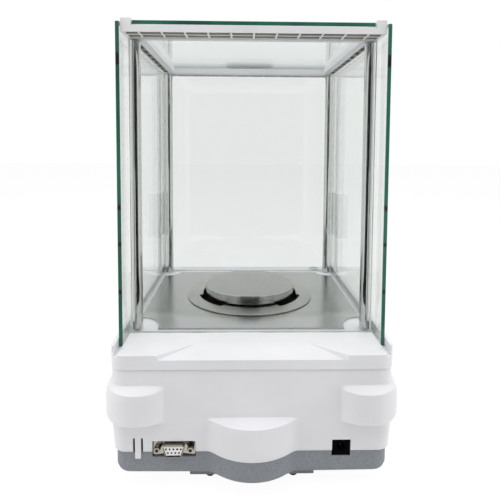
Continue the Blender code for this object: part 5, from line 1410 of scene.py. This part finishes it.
@dataclass
class Chamber:
    """Posts, ribbed top frame and the two fixed panes."""

    bench: Bench
    post_chamfer: float = 0.0005
    rail_edge: float = 0.0003
    cell_depth: float = 0.0034
    mouth: float = 0.0009
    rim: float = 0.0006

    def in_cells(self, rail: bpy.types.Object, node: str) -> np.ndarray:
        """Which faces of a rail lie inside the cells of its underside.

        Args:
            rail: The rail.
            node: The CAD node that it stands for.

        Returns:
            True for each such face.
        """
        low, high = self.bench.place(node)
        centres, = read_all(rail.data.polygons, "center")
        up = centres[:, 2] - low[2]
        flat = centres[:, :2]
        inside = ((flat > low[:2] + self.rim) & (flat < high[:2] - self.rim)).all(axis=1)
        return inside & (up > self.mouth) & (up < self.cell_depth)

    def build(self) -> None:
        """Make the chamber's fixed pieces."""
        finishes = self.bench.finishes
        for end in ("rear", "front"):
            for side in Side:
                node = f"post_{end}_{side.word}"
                radius, height = self.bench.round_place(node)[1:]
                corners = [(0, 0), (radius, 0), (radius, height), (0, height)]
                profile = eased(corners, (0, self.post_chamfer, self.post_chamfer, 0))
                self.bench.lathe(node, node + "_bar", profile, finishes.drawn)
            held = [(axis, sign) for axis in (Axis.ACROSS, Axis.UP) for sign in (-1, 1)]
            pane(self.bench, end + "_glass", Axis.ALONG, held)
        for node in ("rear_top_rail", "front_top_rail", "left_top_rail", "right_top_rail"):
            rail = self.bench.softened(node, finishes.white, self.rail_edge)
            # The faces inside each rail's cells get the painted shade finish.
            self.bench.part_finish(rail, finishes.recess, self.in_cells(rail, node))


@dataclass
class SideDoor:
    """A sliding side pane with its grip and shoes."""

    bench: Bench
    side: Side
    grip_edge: float = 0.0008
    shoe_edge: float = 0.0003

    def build(self) -> None:
        """Make the door's pieces."""
        word = self.side.word
        pane(self.bench, word + "_door_glass", Axis.ACROSS, [(Axis.UP, -1)])
        self.bench.softened(word + "_door_handle", self.bench.finishes.clear, self.grip_edge, 4)
        for place in ("front", "rear"):
            self.bench.softened(f"{word}_door_shoe_{place}", self.bench.finishes.black, self.shoe_edge)


@dataclass
class TopDoor:
    """The sliding top pane with its scooped grip."""

    bench: Bench
    grip_edge: float = 0.0006

    def build(self) -> None:
        """Make the door's pieces."""
        pane(self.bench, "top_door_glass", Axis.UP, [(Axis.ACROSS, -1), (Axis.ACROSS, 1)])
        self.bench.softened("top_door_handle", self.bench.finishes.white, self.grip_edge, 4)


@dataclass
class WeighingPlace:
    """Floor plate, dish, draft ring, pan and what carries it."""

    bench: Bench
    sheet: float = 0.001
    rim_round: float = 0.0014
    mark_radius: float = 0.0013
    mark_depth: float = 0.0003
    top_share: float = 0.5
    top_band: float = 0.00025
    edge: float = 0.0002
    cone_edge: float = 0.0003

    def build_pan(self) -> None:
        """The pan: a flat disc whose rim rolls down, with a small mark in its middle."""
        bench, finishes = self.bench, self.bench.finishes
        end, radius, height = bench.round_place("weighing_pan")
        sheet, mark, dip = self.sheet, self.mark_radius, self.mark_depth
        corners = [(0, height - sheet), (radius - sheet, height - sheet), (radius - sheet, 0), (radius, 0),
                   (radius, height), (mark + 0.0001, height), (mark, height - dip), (0, height - dip)]
        profile = eased(corners, (0, 0.0006, 0.0004, 0.0004, self.rim_round, 0.0001, 0.0001, 0), 9)
        pan = bench.lathe("weighing_pan", "rolled_pan", profile, finishes.turned, 160, sharp=40.0)
        centres, = read_all(pan.data.polygons, "center")
        away = np.hypot(*(centres[:, :2] - end[:2]).T)
        rim = (centres[:, 2] < end[2] + height - self.top_band) & (away > radius * self.top_share)
        bench.part_finish(pan, finishes.polished, rim)

    def build(self) -> None:
        """Make every piece of the weighing place."""
        finishes = self.bench.finishes
        self.build_pan()
        # The pan well's near-black finish is partly painted shade under the ring.
        for node, finish, edge in (("floor_plate", finishes.sheet, self.edge),
                                   ("draft_ring", finishes.pressed, self.edge),
                                   ("pan_well", finishes.well, self.edge),
                                   ("pan_cone", finishes.cast, self.cone_edge),
                                   ("pan_spindle", finishes.nickel, self.edge)):
            self.bench.softened(node, finish, edge)


# Keys and display


@dataclass
class KeyBank:
    """The display behind its window, and six crowned key caps on the sloped cover."""

    bench: Bench
    origin: Point = (0.0, -0.13165, 0.0829)
    slope: float = radians(29.98)
    names: Sequence[str] = ("power", "zero", "unit", "mode", "print", "cal")
    pitch: float = 0.0255
    row: float = -0.0185
    half: tuple[float, float] = (0.009, 0.00475)
    corner: float = 0.0025
    flange: float = 0.001
    face: float = 0.003
    gap: float = 0.0003
    proud: float = 0.0013
    crown: float = 0.0003
    stem: float = 0.0015
    stem_end: float = -0.0070
    cap_round: float = 0.0007
    window: tuple[float, float, float, float] = (0.052, 0.0145, 0.0145, 0.0024)

    def frame(self, u: float, v: float) -> Matrix:
        """The sloped frame moved to a place on the cover."""
        turn = Matrix.Rotation(self.slope, 4, "X")
        return Matrix.Translation(self.origin) @ turn @ Matrix.Translation((u, v, 0.0))

    def cap(self, name: str, u: float) -> None:
        """A cap from stem to crown: circles grow into rounded rectangles, ring by ring.

        Args:
            name: The key's name.
            u: Its place along the row.
        """
        half_x, half_y = self.half
        low = -self.face - self.gap - self.flange
        high = self.proud - self.crown
        circle = rounded_outline(self.stem, self.stem, self.stem, 9)
        wide = rounded_outline(half_x + self.flange, half_y + self.flange, self.corner, 9)
        body = rounded_outline(half_x, half_y, self.corner, 9)
        outlines = [circle * 0.0, circle, circle, wide, wide, body]
        levels = [self.stem_end, self.stem_end, low, low, low + self.flange, low + self.flange]
        ease = self.cap_round
        for angle in np.linspace(0.0, pi / 2, 7):
            inset = ease * (1 - cos(angle))
            outlines.append(rounded_outline(half_x - inset, half_y - inset, self.corner - inset, 9))
            levels.append(high - ease + ease * sin(angle))
        for share in np.linspace(0.9, 0.0, 8):
            outlines.append(rounded_outline(half_x - ease, half_y - ease, self.corner - ease, 9) * share)
            levels.append(high + self.crown * (1 - share ** 2))
        points = moved(stacked(outlines, levels), self.frame(u, self.row))
        cap = surface(f"key_{name}_cap", points, sharp=40.0)
        self.bench.fit(cap, "key_" + name, self.bench.finishes.key)

    def build(self) -> None:
        """Make the caps and the window, and finish the display and the board."""
        finishes = self.bench.finishes
        for i, name in enumerate(self.names):
            self.cap(name, (i - (len(self.names) - 1) / 2) * self.pitch)
        half_x, half_y, middle, depth = self.window
        insets = (0.0003, 0.0, 0.0, 0.0001, 0.0004)
        levels = (-depth, 0.0003 - depth, -0.0004, -0.0001, 0.0)
        outlines = [rounded_outline(half_x - inset, half_y - inset, 0.001 - inset, 5) for inset in insets]
        points = moved(stacked(outlines, levels), self.frame(0.0, middle))
        lens = surface("display_lens", points, caps=True, sharp=25.0)
        self.bench.fit(lens, "display_window", finishes.lens)
        self.bench.finish("display_module", finishes.display)
        self.bench.finish("key_board", finishes.board)


# Sockets


@dataclass
class Sockets:
    """The nine-way serial socket with its jackscrews, and the power jack."""

    bench: Bench
    port: tuple[float, float] = (0.0590, 0.0326)
    flange: float = 0.001
    shell_half: tuple[float, float] = (0.0083, 0.00415)
    slant: float = 0.002
    shell_wall: float = 0.0005
    shell_corner: float = 0.0018
    flange_corner: float = 0.002
    hole_depth: float = 0.0003

    def d_outline(self, inset: float, steps: int = 8) -> np.ndarray:
        """A D with eased corners: a rounded rectangle drawn in toward its lower edge.

        Args:
            inset: How far the outline is drawn in.
            steps: Points on each corner, less one.

        Returns:
            The outline's points, two numbers each.
        """
        half_x, half_y = self.shell_half
        points = rounded_outline(half_x - inset, half_y - inset, self.shell_corner - inset, steps)
        share = 0.5 - points[:, 1] / (2 * half_y)
        points[:, 0] *= 1 - share * self.slant / half_x
        return points

    def build_shell(self) -> None:
        """Flange and D sleeve in one skin, from the flange's edge in and out along the D."""
        low, high = self.bench.place("serial_shell")
        back, end = low[1], high[1]
        face = back + self.flange
        half_x, half_z = (high[0] - low[0]) / 2, (high[2] - low[2]) / 2
        plates = [rounded_outline(half_x - inset, half_z - inset, self.flange_corner - inset)
                  for inset in (0.0, 0.0, 0.0002)]
        wall = self.shell_wall
        insets = (-0.0006, -0.0002, 0.0, 0.0, wall / 3, wall, wall)
        outlines = plates + [self.d_outline(inset) for inset in insets]
        levels = [back, face - 0.0002, face, face, face + 0.0003, face + 0.0009,
                  end - 0.0002, end, end - 0.0002, back]
        flat = stacked(outlines, levels)
        points = flat[..., [0, 2, 1]] + np.array((self.port[0], 0.0, self.port[1]))
        shell = surface("serial_d_shell", points, wrap_rows=True, sharp=40.0)
        self.bench.fit(shell, "serial_shell", self.bench.finishes.nickel)

    def build(self) -> None:
        """Make the sockets."""
        finishes = self.bench.finishes
        self.build_shell()
        insulator = self.bench.softened("serial_insulator", finishes.insulator, 0.0001)
        centres, = read_all(insulator.data.polygons, "center")
        # Painted shade: the faces of the contact holes behind the insulator's face are near-black.
        behind = centres[:, 1] < self.bench.place("serial_insulator")[1][1] - self.hole_depth
        self.bench.part_finish(insulator, finishes.socket, behind)
        for side in Side:
            self.bench.softened("jackscrew_" + side.word, finishes.nickel, 0.0002)
        # The jack's real black plastic, made extra dark as painted shade in its opening.
        self.bench.softened("power_socket", finishes.socket, 0.0003)
        radius, length = self.bench.round_place("power_pin", Axis.ALONG)[1:]
        profile = eased([(0, 0), (radius, 0), (radius, length), (0, length)], (0, 0, radius, 0), 8)
        # The pin takes the nickel painted near-black as shade in the bore.
        self.bench.lathe("power_pin", "power_pin_tip", profile, finishes.dark_pin, 24, axis=Axis.ALONG)


# Inside


@dataclass
class Works:
    """The weighing cell and the boards inside the casing."""

    bench: Bench
    turns: int = 30
    coil_wall: float = 0.0024

    def build(self) -> None:
        """Finish the cell, and wind the coil: its outer wall is one small arc per turn."""
        finishes = self.bench.finishes
        kept = {"main_board": finishes.board, "cell_plate": finishes.cast, "cell_frame": finishes.cast,
                "lever_beam": finishes.cast, "position_sensor": finishes.black,
                "magnet_pot": finishes.black_steel}
        for node, finish in kept.items():
            self.bench.finish(node, finish)
        outer, height = self.bench.round_place("force_coil")[1:]
        inner = outer - self.coil_wall
        up = np.linspace(0.0, height, self.turns * 6 + 1)
        wire = outer - height / self.turns / 2 * (1 - np.abs(np.sin(pi * self.turns * up / height)))
        profile = np.concatenate([[(inner, 0)], np.column_stack([wire, up]), [(inner, height)]])
        self.bench.lathe("force_coil", "wound_coil", profile, finishes.copper, ring=True)


# Studio


@dataclass
class Studio:
    """Pale floor, soft light and the camera behind the balance."""

    eye: Point = (0.010, 0.48905, 0.2602)
    yaw: float = radians(1.193)
    pitch: float = radians(3.730)
    roll: float = radians(0.338)
    lens: float = 33.212
    shift: float = -0.14846
    sensor: float = 36.0
    clip: float = 0.01
    floor_half: float = 6.0
    floor_tone: float = 0.75
    floor_share: float = 0.9
    floor_glow: float = 1.06
    ambient: float = 0.40
    card_half: float = 0.20
    card_y: tuple[float, float] = (0.215, 0.49)
    card_top: float = 0.46
    card_lift: float = 0.001
    card_tone: float = 0.015
    room: float = 0.85
    lamps: Sequence[tuple[str, Point, float, float]] = (
        ("top_lamp", (0.0, 0.1, 1.5), 2.0, 19.0),
        ("left_lamp", (1.5, 0.4, 0.85), 1.6, 11.5),
        ("right_lamp", (-1.5, 0.4, 0.85), 1.6, 12.0))
    aim: Point = (0.0, 0.02, 0.12)

    def camera(self) -> None:
        """The camera at the photograph's angle."""
        level = cos(self.pitch)
        forward = Vector((-sin(self.yaw) * level, -cos(self.yaw) * level, -sin(self.pitch)))
        right = Vector((-cos(self.yaw), sin(self.yaw), 0.0))
        up = right.cross(forward)
        right = cos(self.roll) * right + sin(self.roll) * up
        up = right.cross(forward)
        data = bpy.data.cameras.new("camera")
        data.sensor_width = self.sensor
        data.lens = self.lens
        data.shift_y = self.shift
        data.clip_start = self.clip
        camera = bpy.data.objects.new("camera", data)
        columns = Matrix((right, up, -forward)).transposed().to_4x4()
        camera.matrix_world = Matrix.Translation(self.eye) @ columns
        bpy.context.scene.collection.objects.link(camera)
        bpy.context.scene.camera = camera

    def seen(self, tree: Tree) -> Wire:
        """One where a ray comes from the camera, a mirror or clear glass.

        Args:
            tree: The tree that asks.

        Returns:
            The largest of the three kinds of ray.
        """
        path = tree.node("LightPath")
        names = ("Is Camera Ray", "Is Glossy Ray", "Is Transmission Ray")
        first, second, third = [tree.out(path, name) for name in names]
        return first.largest(second).largest(third)

    def staged(self, name: str, corners: Sequence[Point], faces: Sequence[Sequence[int]],
               cloth: str) -> tuple[bpy.types.Object, Tree]:
        """A flat piece of the stage.

        Args:
            name: Its name.
            corners: Its corners.
            faces: The corners of each face.
            cloth: Its material's name.

        Returns:
            The piece and its material's empty tree.
        """
        mesh = bpy.data.meshes.new(name)
        mesh.from_pydata(corners, [], faces)
        mesh.materials.append(bpy.data.materials.new(cloth))
        piece = into_scene(name, mesh)
        return piece, Tree(mesh.materials[0])

    def floor(self) -> None:
        """A wide pale floor that keeps the balance's shadow."""
        half, tone = self.floor_half, self.floor_tone
        corners = [(-half, -half, 0.0), (half, -half, 0.0), (half, half, 0.0), (-half, half, 0.0)]
        tree = self.staged("floor", corners, [(0, 1, 2, 3)], "pale_floor")[1]
        matt = tree.node("BsdfDiffuse", inputs={"Color": (tone, tone, tone, 1.0)})
        glow = tree.node("Emission", inputs={"Color": (1.0, 1.0, 1.0, 1.0), "Strength": self.floor_glow})
        share = self.seen(tree) * self.floor_share
        tree.end(tree.out(tree.node("MixShader", inputs={0: share, 1: tree.out(matt), 2: tree.out(glow)})))

    def card(self) -> None:
        """A black card behind and under the camera, which only mirrors see."""
        half, (near, far), over, top = self.card_half, self.card_y, self.card_lift, self.card_top
        corners = [(-half, near, over), (half, near, over), (half, far, over), (-half, far, over),
                   (half, far, top), (-half, far, top)]
        card, tree = self.staged("black_card", corners, [(0, 1, 2, 3), (3, 2, 4, 5)], "black_cloth")
        tone = self.card_tone
        tree.end(tree.out(tree.node("BsdfDiffuse", inputs={"Color": (tone, tone, tone, 1.0)})))
        for kind in ("camera", "diffuse", "transmission", "shadow", "volume_scatter"):
            setattr(card, "visible_" + kind, False)

    def world(self) -> None:
        """A white surround; mirrors also see the darker room behind the camera."""
        world = bpy.data.worlds.new("studio")
        bpy.context.scene.world = world
        tree = Tree(world)
        along, up = tree.parts(tree.out(tree.node("TexCoord"), "Generated"))[1:]
        glossy = tree.out(tree.node("LightPath"), "Is Glossy Ray")
        room = along.rise(0.72, 0.95) * (1.0 - up.rise(0.25, 0.6))
        seen = self.seen(tree)
        level = seen * (1.0 - glossy * room * self.room) + (1.0 - seen) * self.ambient
        sky = tree.node("Background", inputs={"Color": (1.0, 1.0, 1.0, 1.0), "Strength": level})
        tree.end(tree.out(sky), "OutputWorld")

    def lamp(self, name: str, place: Point, size: float, power: float) -> None:
        """A square soft lamp that faces the middle of the balance.

        Args:
            name: Its name.
            place: Where it hangs.
            size: Its side.
            power: Its power in watts.
        """
        data = bpy.data.lights.new(name, "AREA")
        data.size = size
        data.energy = power
        lamp = bpy.data.objects.new(name, data)
        lamp.location = place
        aim = Vector(self.aim) - Vector(place)
        lamp.rotation_euler = aim.to_track_quat("-Z", "Y").to_euler()
        lamp.visible_glossy = False
        bpy.context.scene.collection.objects.link(lamp)

    def build(self) -> None:
        """Set up the studio."""
        bpy.context.scene.view_settings.view_transform = "Standard"
        self.camera()
        self.floor()
        self.card()
        self.world()
        for lamp in self.lamps:
            self.lamp(*lamp)


def main() -> None:
    """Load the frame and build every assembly."""
    logging.basicConfig(level=logging.INFO, format="%(message)s")
    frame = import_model()
    bench = Bench(frame)
    Studio().build()
    for assembly in (Casing(bench), Levelling(bench), Chamber(bench), SideDoor(bench, Side.LEFT),
                     SideDoor(bench, Side.RIGHT), TopDoor(bench), WeighingPlace(bench), KeyBank(bench),
                     Sockets(bench), Works(bench)):
        assembly.build()
        LOG.info("%s is done", type(assembly).__name__)


if __name__ == "__main__":
    main()
